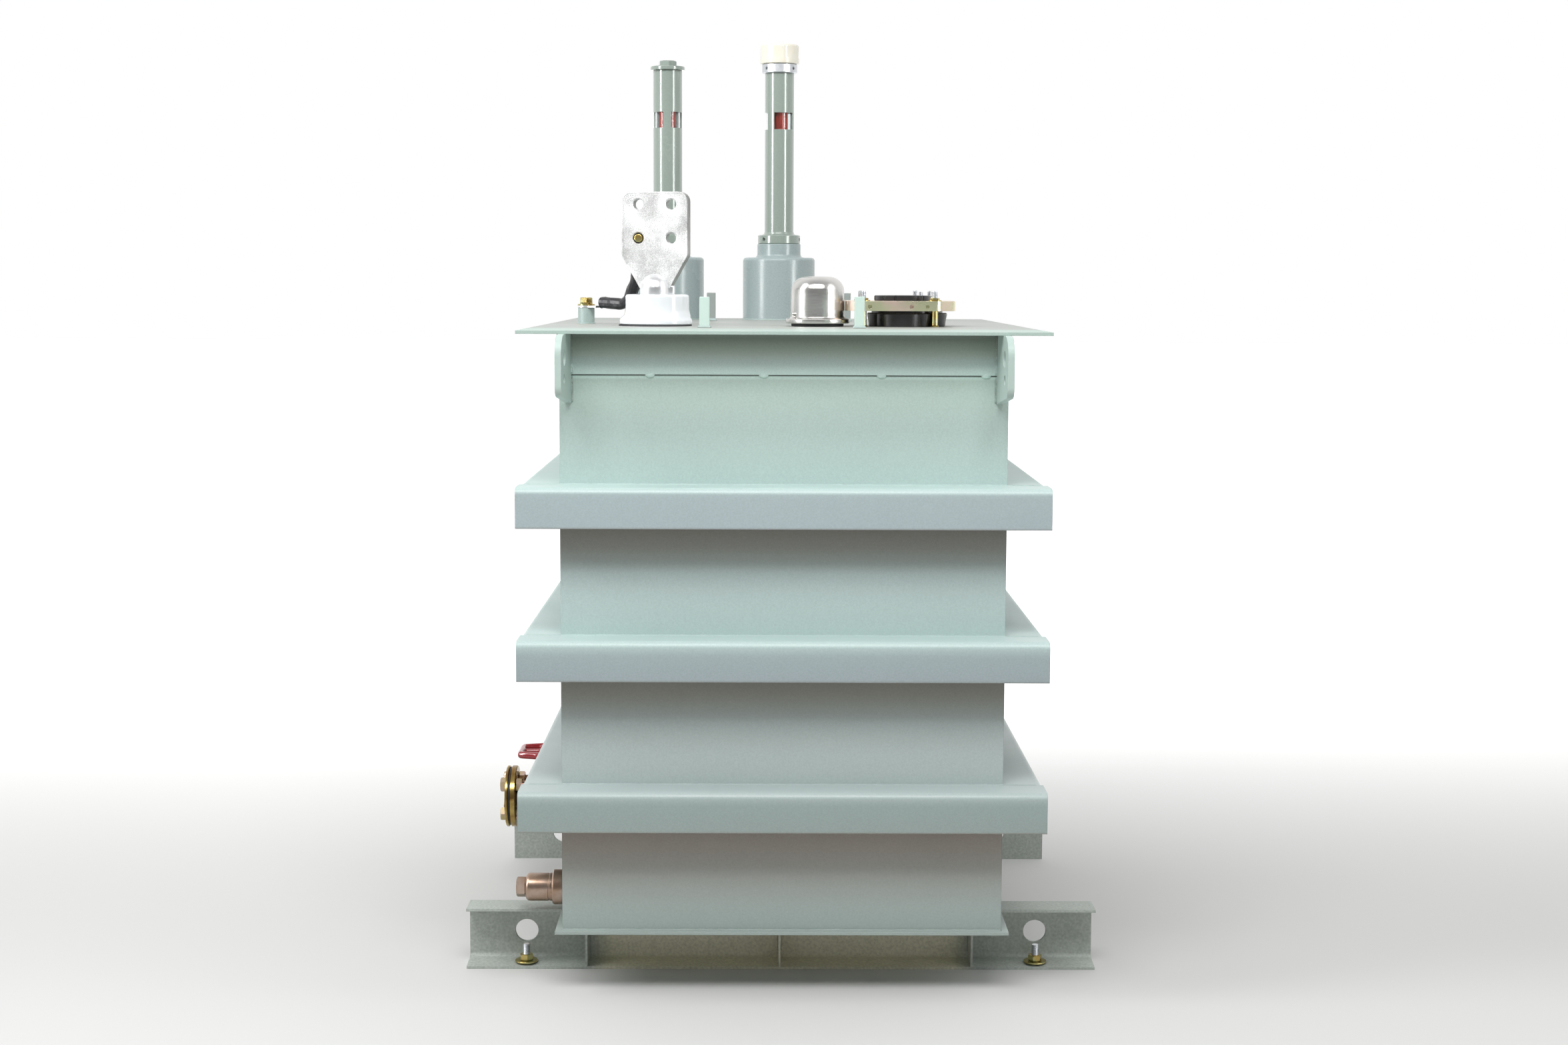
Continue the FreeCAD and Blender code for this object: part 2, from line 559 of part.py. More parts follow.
# ---- drain valve -----------------------------------------------------------------------------------
VALVE_Y, VALVE_Z = 491.0 - HALF_D, 142.0
VALVE_X = -343.0
FLANGE_R, FLANGE_T = 44.5, 8.0
OUTLET_X = -383.6         # valve side of the outlet flange
GASKET_T, BLANK_T = 2.8, 4.2
BOLT_CIRCLE = 61.0
WHEEL_LOW, WHEEL_HIGH, WHEEL_R = 204.0, 214.0, 50.0
STEM_R = 4.0


def valve():
    left = V(-1, 0, 0)
    save("valve_nipple", rod(-HALF_W, VALVE_Y, VALVE_Z, 21, 13.5, left))
    body = hexagon(-HALF_W - 21, VALVE_Y, VALVE_Z, 20, 36.0, left, 30)
    body = body.fuse(rod(-HALF_W - 40, VALVE_Y, VALVE_Z, -OUTLET_X - HALF_W - 40, 16.0, left))
    body = body.fuse(Part.makeSphere(27.0, V(VALVE_X, VALVE_Y, VALVE_Z - 3)))
    body = body.fuse(rod(VALVE_X, VALVE_Y, VALVE_Z, 30, 18.0))
    save("valve_body", body)
    bonnet = hexagon(VALVE_X, VALVE_Y, VALVE_Z + 30, 14, 34.0, turn=10)
    bonnet = bonnet.fuse(rod(VALVE_X, VALVE_Y, VALVE_Z + 44, 4, 12.0))
    bonnet = bonnet.fuse(hexagon(VALVE_X, VALVE_Y, VALVE_Z + 48, 7, 20.0, turn=25))
    save("valve_bonnet", bonnet)

    flange = rod(OUTLET_X, VALVE_Y, VALVE_Z, FLANGE_T, FLANGE_R, left)
    gasket = rod(OUTLET_X - FLANGE_T, VALVE_Y, VALVE_Z, GASKET_T, FLANGE_R - 2.5, left)
    blank = rod(OUTLET_X - FLANGE_T - GASKET_T, VALVE_Y, VALVE_Z, BLANK_T, FLANGE_R, left)
    face = OUTLET_X - FLANGE_T - GASKET_T - BLANK_T
    bolts = []
    for i in range(4):
        a = math.radians(45 + 90 * i)
        y = VALVE_Y + BOLT_CIRCLE / 2 * math.cos(a)
        z = VALVE_Z + BOLT_CIRCLE / 2 * math.sin(a)
        shank = rod(face, y, z, OUTLET_X + 22 - face, 5.5, X_AXIS)
        flange, gasket, blank = flange.cut(shank), gasket.cut(shank), blank.cut(shank)
        head = hexagon(face, y, z, 7.5, 18.0, left, 15 * i)
        nut = hexagon(OUTLET_X, y, z, 9, 18.0, X_AXIS, 20)
        bolts.append(shank.fuse(head).fuse(nut))
    save("outlet_flange", flange)
    save("outlet_gasket", gasket)
    save("blank_flange", blank)
    save("flange_bolts", *bolts)


def handwheel():
    """Cast wheel: wavy rim, five arms and a hub on the valve's stem."""
    mid = (WHEEL_LOW + WHEEL_HIGH) / 2
    lobes = 5
    outer, inner = [], []
    for i in range(60):
        a = math.radians(6 * i)
        wave = 2.6 * math.cos(lobes * a)
        for ring, radius in ((outer, WHEEL_R - 2.6 + wave), (inner, WHEEL_R - 12.0 + wave)):
            ring.append(V(VALVE_X + radius * math.cos(a), VALVE_Y + radius * math.sin(a), WHEEL_LOW))
    rise = V(0, 0, WHEEL_HIGH - WHEEL_LOW)
    wheel = prism(outer, rise).cut(prism(inner, rise))
    for i in range(lobes):
        arm = box(6, WHEEL_R - 10, -3.2, 3.2, mid - 3, mid + 3)
        arm.rotate(V(0, 0, 0), Z_AXIS, 360 / lobes * (i + 0.5))
        arm.translate(V(VALVE_X, VALVE_Y, 0))
        wheel = wheel.fuse(arm)
    hub = rod(VALVE_X, VALVE_Y, WHEEL_LOW - 1, WHEEL_HIGH - WHEEL_LOW + 1, 9.0)
    save("handwheel", wheel.fuse(hub))
    stem = rod(VALVE_X, VALVE_Y, VALVE_Z + 55, WHEEL_LOW - 1 - VALVE_Z - 55, STEM_R)
    save("valve_stem", stem)
    save("handwheel_nut", hexagon(VALVE_X, VALVE_Y, WHEEL_HIGH, 5, 12.0, turn=5))


os.makedirs("parts", exist_ok=True)
tank()
band()
stiffeners()
lugs()
base()
foot_studs()
bushing()
strap()
gauges()
dome()
bushing_well()
posts()
drain_plug()
valve()
handwheel()
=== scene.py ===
# %% [markdown]
# # An oil-filled power transformer
#
# This script dresses a welded transformer tank that was drawn in CAD. The CAD solids arrive as a fixed
# frame, in metres, with the front towards -Y and the ground at Z = 0. Most flat plates of the tank are
# right as they are and only need paint. The fittings on the cover, the drain gear and the welds need
# rounder edges, threads and castings, so they are modelled here around the same places.
#
# Each step has a short text like this one, and then short cells of code.

# %% Load the frame
import bpy
import bmesh
import json
import math
import random
from mathutils import Matrix, Vector


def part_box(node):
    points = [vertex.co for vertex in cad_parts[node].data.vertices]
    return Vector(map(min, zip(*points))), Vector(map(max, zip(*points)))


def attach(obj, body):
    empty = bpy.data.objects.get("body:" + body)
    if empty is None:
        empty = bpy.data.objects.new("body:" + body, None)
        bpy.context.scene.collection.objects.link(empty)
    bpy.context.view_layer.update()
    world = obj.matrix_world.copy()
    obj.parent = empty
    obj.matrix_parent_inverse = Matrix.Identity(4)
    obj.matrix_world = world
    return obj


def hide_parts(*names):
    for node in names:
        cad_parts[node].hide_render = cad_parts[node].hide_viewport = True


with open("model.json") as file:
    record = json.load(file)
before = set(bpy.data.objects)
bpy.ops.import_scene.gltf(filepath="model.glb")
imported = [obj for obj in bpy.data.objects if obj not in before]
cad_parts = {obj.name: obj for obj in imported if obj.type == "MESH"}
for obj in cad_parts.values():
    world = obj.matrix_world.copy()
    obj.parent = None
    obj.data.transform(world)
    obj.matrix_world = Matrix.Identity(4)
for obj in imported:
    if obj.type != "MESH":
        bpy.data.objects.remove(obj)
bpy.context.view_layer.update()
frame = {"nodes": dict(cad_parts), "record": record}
nodes = frame["nodes"]

# %% [markdown]
# ## The camera
#
# A picture of a machine this size is taken from about three metres with a slightly long lens, standing a
# little above the cover so that its fittings show. The camera is turned about Z, pitched down, and then
# rolled a fraction of a degree about its own axis. Multiplying three rotation matrices in that order keeps
# each angle readable, where one set of Euler angles would mix them.

# %% Place the camera
LENS_MM = 52.18
CAMERA_PLACE = Vector((-0.02244, -3.19619, 0.89561))
PITCH, YAW, ROLL = math.radians(6.096), math.radians(0.473), math.radians(0.242)

camera_data = bpy.data.cameras.new("camera")
camera_data.lens = LENS_MM
camera_data.sensor_width = 36.0
camera = bpy.data.objects.new("camera", camera_data)
bpy.context.scene.collection.objects.link(camera)
camera.matrix_world = (
    Matrix.Translation(CAMERA_PLACE)
    @ Matrix.Rotation(-YAW, 4, "Z")
    @ Matrix.Rotation(math.pi / 2 - PITCH, 4, "X")
    @ Matrix.Rotation(ROLL, 4, "Z")
)
bpy.context.scene.camera = camera
print("camera", [round(v, 3) for v in camera.location], "lens", LENS_MM)

# %% [markdown]
# ## The room: floor, sky and lights
#
# The transformer stands on a plain pale floor that grows lighter with distance, as a lit studio cove
# does, so that no horizon shows. A white sky lights it from behind and, more weakly, from the front. The
# main light is a wide soft box above the front edge: the rings then shade the panels under them, and
# the tank gets darker towards the ground. Two smaller boxes fill the sides, and two tall strips make
# the long highlights on the tubes.

# %% Helpers for shader nodes
def add_node(tree, kind, inputs, **settings):
    """Adds a node. inputs maps sockets to values, or to outputs that are linked to them."""
    node = tree.nodes.new("ShaderNode" + kind)
    for key, value in settings.items():
        setattr(node, key, value)
    for socket, value in inputs.items():
        if isinstance(value, bpy.types.NodeSocket):
            tree.links.new(value, node.inputs[socket])
        else:
            node.inputs[socket].default_value = value
    return node


def map_range(tree, value, start, end, low=0.0, high=1.0, **settings):
    """Stretches a value that runs from start to end, so that it runs from low to high."""
    inputs = {"Value": value, "From Min": start, "From Max": end, "To Min": low, "To Max": high}
    return add_node(tree, "MapRange", inputs, **settings).outputs["Result"]


def split(tree, vector):
    """The X, Y and Z of a vector output."""
    return add_node(tree, "SeparateXYZ", {0: vector}).outputs

# %% Floor
FLOOR_SIZE = 60.0
GLOW_START, GLOW_END = -0.2, 2.6       # along Y, where the floor starts to glow and where it is white

bpy.ops.object.select_all(action="DESELECT")
bpy.ops.mesh.primitive_plane_add(size=FLOOR_SIZE)
floor = bpy.context.object
floor.name = "floor"
floor_paint = bpy.data.materials.new("floor_paint")
floor_paint.use_nodes = True
floor_tree = floor_paint.node_tree
floor_shader = floor_tree.nodes["Principled BSDF"]
for socket, value in {"Base Color": (0.62, 0.62, 0.61, 1), "Roughness": 0.85, "Specular IOR Level": 0.1,
                      "Emission Color": (1, 1, 1, 1)}.items():
    floor_shader.inputs[socket].default_value = value
where = add_node(floor_tree, "TexCoord", {}).outputs["Object"]
glow = map_range(floor_tree, split(floor_tree, where)["Y"], GLOW_START, GLOW_END, interpolation_type="SMOOTHSTEP")
floor_tree.links.new(glow, floor_shader.inputs["Emission Strength"])
floor.data.materials.append(floor_paint)
print("floor", FLOOR_SIZE, "m")

# %% Sky
# The sky's brightness follows its own direction: 1 away from the camera's side, less on that side.
SKY_FRONT, SKY_BACK = 0.24, 1.0

sky = bpy.data.worlds.new("studio")
bpy.context.scene.world = sky
sky.use_nodes = True
sky_tree = sky.node_tree
direction = add_node(sky_tree, "TexCoord", {}).outputs["Generated"]
brightness = map_range(sky_tree, split(sky_tree, direction)["Y"], -0.6, 0.5, SKY_FRONT, SKY_BACK)
sky_tree.links.new(brightness, sky_tree.nodes["Background"].inputs["Strength"])
sky_tree.nodes["Background"].inputs["Color"].default_value = (1, 1, 1, 1)
bpy.context.scene.view_settings.view_transform = "Standard"
print("sky from", SKY_FRONT, "to", SKY_BACK)

# %% Soft boxes
def soft_box(name, location, target, width, height, watts):
    """A rectangular area light that faces a target point."""
    data = bpy.data.lights.new(name, "AREA")
    data.shape = "RECTANGLE"
    data.size, data.size_y, data.energy = width, height, watts
    light = bpy.data.objects.new(name, data)
    bpy.context.scene.collection.objects.link(light)
    light.location = location
    aim = Vector(target) - Vector(location)
    light.rotation_euler = aim.to_track_quat("-Z", "Y").to_euler()
    return light


soft_box("soft_box_left", (-2.4, -1.0, 2.6), (0, 0, 0.8), 0.9, 1.8, 38)
soft_box("soft_box_right", (2.6, -0.9, 2.5), (0, 0, 0.8), 0.8, 1.8, 9)
soft_box("soft_box_top", (-0.2, -2.05, 2.65), (0, -0.3, 0.5), 2.4, 0.8, 66)

# Two tall strips stand in for bright studio screens. They only show as reflections in glossy surfaces.
for name, location, watts in (("strip_left", (-1.70, -0.75, 1.15), 24), ("strip_right", (1.45, -0.95, 1.15), 20)):
    strip = soft_box(name, location, (-0.09, 0.375, 1.15), 0.28, 1.5, watts)
    strip.visible_diffuse = False
print("three soft boxes and two strips")

# %% [markdown]
# ## Materials
#
# Every finish is built from the same few parts: an Object-coordinate noise that shifts the colour a
# little, another that breaks up the roughness, and a fine one that drives a bump. The object sits at the
# origin, so Object coordinates are metres in the machine's own frame, and a noise scale of 400 means
# grains of about 2.5 mm wherever the piece is.

# %% The material builder
def noise(tree, where, scale, detail):
    inputs = {"Vector": where, "Scale": scale, "Detail": detail}
    return add_node(tree, "TexNoise", inputs).outputs["Fac"]


def finish_material(name, colour, roughness, metallic=0.0, tint=None, patch=6.0, patch_mix=0.5, gloss_patch=9.0,
                    roughness_spread=0.06, grain=None, edge_radius=0.0, stretch=None):
    """A Principled material. tint is the second colour that large soft patches mix in; grain is
    (scale, height in metres, detail) for the bump; stretch scales the grain's coordinates along X, Y, Z."""
    material = bpy.data.materials.new(name)
    material.use_nodes = True
    tree = material.node_tree
    shader = tree.nodes["Principled BSDF"]
    shader.inputs["Metallic"].default_value = metallic
    where = add_node(tree, "TexCoord", {}).outputs["Object"]

    ramp = add_node(tree, "ValToRGB", {"Fac": noise(tree, where, patch, 4.0)})
    first, last = ramp.color_ramp.elements
    first.position, last.position = 0.5 - 0.5 * patch_mix, 0.5 + 0.5 * patch_mix
    first.color, last.color = (*colour, 1), (*(tint or colour), 1)
    tree.links.new(ramp.outputs["Color"], shader.inputs["Base Color"])
    gloss = noise(tree, where, gloss_patch, 5.0)
    gloss = map_range(tree, gloss, 0.3, 0.7, roughness - roughness_spread, roughness + roughness_spread)
    tree.links.new(gloss, shader.inputs["Roughness"])

    normal = {}
    if edge_radius:
        normal["Normal"] = add_node(tree, "Bevel", {"Radius": edge_radius}, samples=4).outputs["Normal"]
    if grain:
        scale, height, detail = grain
        if stretch:
            where = add_node(tree, "Mapping", {"Vector": where, "Scale": stretch}).outputs["Vector"]
        bump = {"Strength": 1.0, "Distance": height, "Height": noise(tree, where, scale, detail)}
        normal["Normal"] = add_node(tree, "Bump", bump | normal).outputs["Normal"]
    for socket, output in normal.items():
        tree.links.new(output, shader.inputs[socket])
    return material


def shader_of(material):
    return material.node_tree.nodes["Principled BSDF"]


def coordinates_of(material):
    """The Object coordinates that the material's patches read."""
    return next(n for n in material.node_tree.nodes if n.bl_idname == "ShaderNodeTexCoord").outputs["Object"]


def lay_over(material, colour, factor=1.0, mode="MULTIPLY"):
    """Mixes a colour over what the material's base colour is so far."""
    tree, base = material.node_tree, shader_of(material).inputs["Base Color"]
    inputs = {"Factor": factor, "A": base.links[0].from_socket, "B": colour}
    mix = add_node(tree, "Mix", inputs, data_type="RGBA", blend_type=mode)
    tree.links.new(mix.outputs["Result"], base)

# %% [markdown]
# ### Tank paint
#
# The tank is sprayed with a satin grey-green paint, a touch greener at the top and greyer towards the floor. Its
# colour also follows height as painted shade and painted light: a dark brownish band just under each ring and under
# the cover's lip is painted shade for their shadows, and the lower part of each panel, just above a ring, and the
# band under the cover are painted lighter, as painted light. A fine bump gives the spray's orange peel, and the Bevel
# node softens the light along the sheared plate edges.

# %% Tank paint
# Painted shade and painted light: the dark brownish stops just under each ring (0.219, 0.406, 0.594) and under the
# cover's lip (0.827) paint their shadows, and the light stops just above each ring and on the band (0.777 to 0.790)
# paint light.
PAINT_AND_SHADE_BY_HEIGHT = (            # height in metres, colour
    (0.000, (0.360, 0.375, 0.330)),
    (0.100, (0.320, 0.388, 0.370)),
    (0.150, (0.370, 0.390, 0.365)),
    (0.190, (0.320, 0.295, 0.260)),
    (0.219, (0.250, 0.220, 0.190)),
    (0.221, (0.275, 0.335, 0.320)),
    (0.255, (0.285, 0.355, 0.345)),
    (0.266, (0.390, 0.465, 0.455)),
    (0.275, (0.440, 0.510, 0.500)),
    (0.350, (0.405, 0.465, 0.455)),
    (0.381, (0.275, 0.280, 0.245)),
    (0.406, (0.210, 0.200, 0.175)),
    (0.409, (0.305, 0.362, 0.380)),
    (0.440, (0.330, 0.400, 0.415)),
    (0.453, (0.455, 0.570, 0.550)),
    (0.463, (0.460, 0.580, 0.560)),
    (0.535, (0.430, 0.520, 0.510)),
    (0.567, (0.285, 0.290, 0.262)),
    (0.594, (0.210, 0.200, 0.180)),
    (0.597, (0.360, 0.430, 0.450)),
    (0.636, (0.370, 0.445, 0.460)),
    (0.641, (0.460, 0.575, 0.555)),
    (0.660, (0.470, 0.595, 0.565)),
    (0.712, (0.415, 0.525, 0.490)),
    (0.775, (0.440, 0.555, 0.500)),
    (0.777, (0.575, 0.745, 0.685)),
    (0.790, (0.600, 0.740, 0.700)),
    (0.798, (0.525, 0.625, 0.600)),
    (0.805, (0.415, 0.495, 0.440)),
    (0.813, (0.303, 0.357, 0.299)),
    (0.827, (0.150, 0.175, 0.145)),
    (0.834, (0.400, 0.500, 0.475)),
)


def shade_and_colour_by_height(material, stops):
    """Multiplies the patches of a material by a ramp that follows Z."""
    tree = material.node_tree
    ramp = add_node(tree, "ValToRGB", {"Fac": split(tree, coordinates_of(material))["Z"]})
    while len(ramp.color_ramp.elements) < len(stops):
        ramp.color_ramp.elements.new(0.5)
    for element, (z, colour) in zip(ramp.color_ramp.elements, stops):
        element.position, element.color = z, (*colour, 1)
    lay_over(material, ramp.outputs["Color"])


tank_paint = finish_material("tank_paint", (0.97, 0.97, 0.97), 0.40, tint=(1.0, 1.0, 1.0), patch=3.0,
                             grain=(420, 0.00012, 2.0), edge_radius=0.0015)
shade_and_colour_by_height(tank_paint, PAINT_AND_SHADE_BY_HEIGHT)
cover_paint = finish_material("cover_paint", (0.385, 0.490, 0.446), 0.46, tint=(0.400, 0.500, 0.456), patch=3.0,
                              grain=(420, 0.00012, 2.0), edge_radius=0.001)


def dust_and_painted_reflection_on_top(material, dust_and_painted_light, clean_y, dusty_and_reflecting_y):
    """Mixes a grey colour in where a face looks up, from one Y to another: a dusty grey that also paints the top's
    reflection.
    """
    tree = material.node_tree
    up = split(tree, add_node(tree, "NewGeometry", {}).outputs["Normal"])["Z"]
    flat = map_range(tree, up, 0.7, 0.95)
    behind = map_range(tree, split(tree, coordinates_of(material))["Y"], clean_y, dusty_and_reflecting_y)
    both = add_node(tree, "Math", {0: flat, 1: behind}, operation="MULTIPLY")
    lay_over(material, (*dust_and_painted_light, 1), both.outputs["Value"], "MIX")


def speckled(material, amount, scale):
    """Multiplies the base colour by a fine grey noise, from 1 - amount to 1 + amount."""
    tree = material.node_tree
    specks = noise(tree, coordinates_of(material), scale, 3.0)
    lay_over(material, map_range(tree, specks, 0.3, 0.7, 1 - amount, 1 + amount))


# Painted reflection: behind its front strip, the cover's top is mixed towards a grey that stands for settled dust and
# for the grey sheen of the top at a grazing angle.
dust_and_painted_reflection_on_top(cover_paint, (0.368, 0.388, 0.364), -0.36, -0.28)
speckled(tank_paint, 0.055, 560)
speckled(cover_paint, 0.045, 560)
print("tank paint with", len(PAINT_AND_SHADE_BY_HEIGHT), "heights")

# %% [markdown]
# ### Base channel paint
#
# The two base channels wear the same paint, but between the ribs, under the tank, a pale brown is mixed in: painted
# light that lifts the shaded bays, with a brown tint of dust. The change follows the distance from the middle, so a
# ramp on the size of X does it, with a fine speckle on top.

# %% Channel paint
RIB_REACH = 0.254

channel_paint = finish_material("channel_paint", (0.375, 0.410, 0.378), 0.55, tint=(0.410, 0.445, 0.412), patch=22,
                                patch_mix=0.4, grain=(420, 0.00014, 2.0), edge_radius=0.001)
channel_tree = channel_paint.node_tree
away = add_node(channel_tree, "Math", {0: split(channel_tree, coordinates_of(channel_paint))["X"]},
                operation="ABSOLUTE").outputs["Value"]
# Painted light: between the ribs, under the tank, the channels are mixed towards a pale brown that lifts their shaded
# bays, with a brown tint of dust.
between = map_range(channel_tree, away, RIB_REACH, RIB_REACH - 0.030)
lay_over(channel_paint, (0.68, 0.65, 0.51, 1), between, "MIX")
speckled(channel_paint, 0.16, 300)
print("dust within", RIB_REACH, "m of the middle")

# %% [markdown]
# ### Metals, glaze, rubber and plastics
#
# Yellow passivated zinc drifts between gold, green and pink, so it takes a strong tint in small patches.
# Blasted aluminium needs a coarse sparkle, spun aluminium a fine grain that runs round the axis, and
# the black sleeve a low sheen over wrinkles that are real geometry.

# %% The other finishes
fitting_paint = finish_material("fitting_paint", (0.285, 0.345, 0.305), 0.22, tint=(0.30, 0.36, 0.32),
                                grain=(300, 0.00008, 2.0), edge_radius=0.001)
shader_of(fitting_paint).inputs["Coat Weight"].default_value = 1.0
shader_of(fitting_paint).inputs["Coat Roughness"].default_value = 0.15
speckled(fitting_paint, 0.04, 520)
pedestal_paint = finish_material("pedestal_paint", (0.335, 0.405, 0.405), 0.24, tint=(0.355, 0.425, 0.425),
                                 grain=(300, 0.0001, 2.0), edge_radius=0.001)
speckled(pedestal_paint, 0.07, 520)
lug_paint = finish_material("lug_paint", (0.415, 0.520, 0.480), 0.42, tint=(0.43, 0.535, 0.495), patch=9,
                            grain=(420, 0.00012, 2.0), edge_radius=0.001)
# Painted light and painted shade: the front posts get a light mint and the rear posts a dark grey, two copies of one
# paint lit differently.
lit_post_paint = finish_material("lit_post_paint", (0.56, 0.700, 0.640), 0.42, tint=(0.58, 0.72, 0.66), patch=9,
                             grain=(420, 0.00012, 2.0), edge_radius=0.001)
shaded_post_paint = finish_material("shaded_post_paint", (0.29, 0.325, 0.310), 0.50, tint=(0.31, 0.345, 0.33),
                                  patch=9, grain=(420, 0.00012, 2.0), edge_radius=0.001)
yellow_zinc = finish_material("yellow_zinc", (0.56, 0.40, 0.13), 0.26, metallic=1.0, tint=(0.50, 0.50, 0.24),
                              patch=90, patch_mix=0.25, grain=(900, 0.00004, 2.0))
brown_zinc = finish_material("brown_zinc", (0.24, 0.14, 0.045), 0.24, metallic=1.0, tint=(0.54, 0.41, 0.14),
                             patch=45, patch_mix=0.30, grain=(500, 0.00006, 3.0))
pink_zinc = finish_material("pink_zinc", (0.56, 0.40, 0.36), 0.26, metallic=1.0, tint=(0.50, 0.42, 0.20),
                            patch=70, patch_mix=0.30, grain=(700, 0.00005, 3.0))
plate_zinc = finish_material("plate_zinc", (0.66, 0.66, 0.44), 0.30, metallic=0.85, tint=(0.86, 0.66, 0.58),
                             patch=28, patch_mix=0.22, grain=(700, 0.00006, 3.0))
browned_steel = finish_material("browned_steel", (0.36, 0.24, 0.17), 0.30, metallic=1.0, tint=(0.46, 0.36, 0.30),
                                patch=60, patch_mix=0.35, grain=(700, 0.00005, 3.0))
plain_steel = finish_material("plain_steel", (0.56, 0.51, 0.48), 0.30, metallic=1.0, tint=(0.62, 0.60, 0.58),
                              patch=60, grain=(700, 0.00005, 3.0))
galvanised = finish_material("galvanised", (0.55, 0.57, 0.60), 0.38, metallic=1.0, tint=(0.68, 0.70, 0.72),
                             patch=160, grain=(800, 0.00006, 3.0))
tinned = finish_material("tinned_copper", (0.80, 0.80, 0.78), 0.35, metallic=0.9, tint=(0.72, 0.73, 0.74),
                         patch=90, grain=(600, 0.00005, 2.0))
cast_aluminium = finish_material("cast_aluminium", (0.30, 0.30, 0.30), 0.42, metallic=0.45,
                                 tint=(0.97, 0.97, 0.97), patch=2300, patch_mix=0.16, roughness_spread=0.12,
                                 gloss_patch=900, grain=(2300, 0.00025, 3.0))
polished_aluminium = finish_material("polished_aluminium", (0.88, 0.89, 0.90), 0.30, metallic=1.0,
                                     tint=(0.78, 0.79, 0.80), patch=60, grain=(300, 0.0002, 2.0))
spun_aluminium = finish_material("spun_aluminium", (0.64, 0.63, 0.61), 0.20, metallic=1.0,
                                 tint=(0.71, 0.70, 0.68), patch=40, grain=(60, 0.00006, 3.0),
                                 stretch=(1, 1, 60))
porcelain = finish_material("porcelain", (0.86, 0.89, 0.91), 0.12, tint=(0.82, 0.85, 0.88), patch=15,
                            roughness_spread=0.03, grain=(40, 0.0002, 1.0))
shader_of(porcelain).inputs["Coat Weight"].default_value = 0.6
rubber = finish_material("gasket_rubber", (0.018, 0.019, 0.022), 0.62, tint=(0.030, 0.031, 0.035), patch=50,
                         grain=(900, 0.00008, 2.0))
sleeve = finish_material("shrink_sleeve", (0.014, 0.014, 0.017), 0.36, tint=(0.028, 0.027, 0.034), patch=60,
                         grain=(260, 0.0004, 3.0))
black_epoxy = finish_material("black_epoxy", (0.014, 0.014, 0.015), 0.24, tint=(0.022, 0.022, 0.023), patch=40,
                              grain=(500, 0.00006, 2.0))
cream_plastic = finish_material("cream_plastic", (0.87, 0.84, 0.73), 0.20, tint=(0.82, 0.79, 0.68), patch=25,
                                grain=(500, 0.00008, 2.0))
shader_of(cream_plastic).inputs["Subsurface Weight"].default_value = 0.15
shader_of(cream_plastic).inputs["Subsurface Radius"].default_value = (0.004, 0.003, 0.002)
red_plastic = finish_material("red_plastic", (0.42, 0.035, 0.02), 0.22, tint=(0.50, 0.05, 0.03), patch=40,
                              grain=(400, 0.00006, 2.0))
red_paint = finish_material("red_paint", (0.30, 0.010, 0.018), 0.20, tint=(0.38, 0.018, 0.022), patch=60,
                            grain=(180, 0.0003, 3.0))
shader_of(red_paint).inputs["Coat Weight"].default_value = 0.7
bronze = finish_material("bronze", (0.50, 0.33, 0.24), 0.34, metallic=1.0, tint=(0.60, 0.44, 0.36), patch=50,
                         grain=(350, 0.0003, 3.0))
sight_glass = finish_material("sight_glass", (0.93, 0.97, 0.96), 0.04, tint=(0.90, 0.95, 0.95), patch=30,
                              roughness_spread=0.02, grain=(60, 0.00005, 1.0))
shader_of(sight_glass).inputs["Transmission Weight"].default_value = 1.0
shader_of(sight_glass).inputs["IOR"].default_value = 1.47
# Painted shade: this near-black colours the strip that stands for the shadow in the band's hairline gap.
gap_shade_paint = finish_material("painted_gap_shade", (0.075, 0.080, 0.072), 0.85, tint=(0.13, 0.14, 0.125), patch=30,
                        grain=(500, 0.0001, 2.0))
print("materials:", len(bpy.data.materials))

# %% Blasted patches on the palm
# A second, large noise is added to the grain before its ramp, so that the speckle gathers in clouds.
CLOUD_SCALE, CLOUD_SHARE, CLOUD_LEVEL = 34, 0.4, -0.190
palm_tree = cast_aluminium.node_tree
grain_ramp = next(n for n in palm_tree.nodes if n.bl_idname == "ShaderNodeValToRGB")
clouds = noise(palm_tree, coordinates_of(cast_aluminium), CLOUD_SCALE, 2.0)
grain = grain_ramp.inputs["Fac"].links[0].from_socket
gathered = add_node(palm_tree, "Math", {0: clouds, 1: CLOUD_SHARE, 2: grain}, operation="MULTIPLY_ADD")
lifted = add_node(palm_tree, "Math", {0: gathered.outputs["Value"], 1: CLOUD_LEVEL}, operation="ADD")
palm_tree.links.new(lifted.outputs["Value"], grain_ramp.inputs["Fac"])

# The plate's side faces that look towards +X are painted a darker grey than its blasted faces: painted shade on that
# side.
facing = add_node(palm_tree, "NewGeometry", {}).outputs["True Normal"]
shaded_side = map_range(palm_tree, split(palm_tree, facing)["X"], 0.5, 0.8)
lay_over(cast_aluminium, (0.45, 0.45, 0.44, 1), shaded_side)
print("speckle clouds of about", round(1000 / CLOUD_SCALE), "mm")

# %% Paint the CAD nodes that stay
SLOT_MATERIALS = {
    "tank_paint": tank_paint, "fitting_paint": fitting_paint, "yellow_zinc": yellow_zinc,
    "plain_steel": plain_steel, "tinned_copper": tinned, "cast_aluminium": cast_aluminium,
    "spun_aluminium": spun_aluminium, "porcelain": porcelain, "gasket_rubber": rubber,
    "shrink_sleeve": sleeve, "black_epoxy": black_epoxy, "cream_plastic": cream_plastic,
    "red_plastic": red_plastic, "sight_glass": sight_glass, "red_paint": red_paint, "bronze": bronze,
}

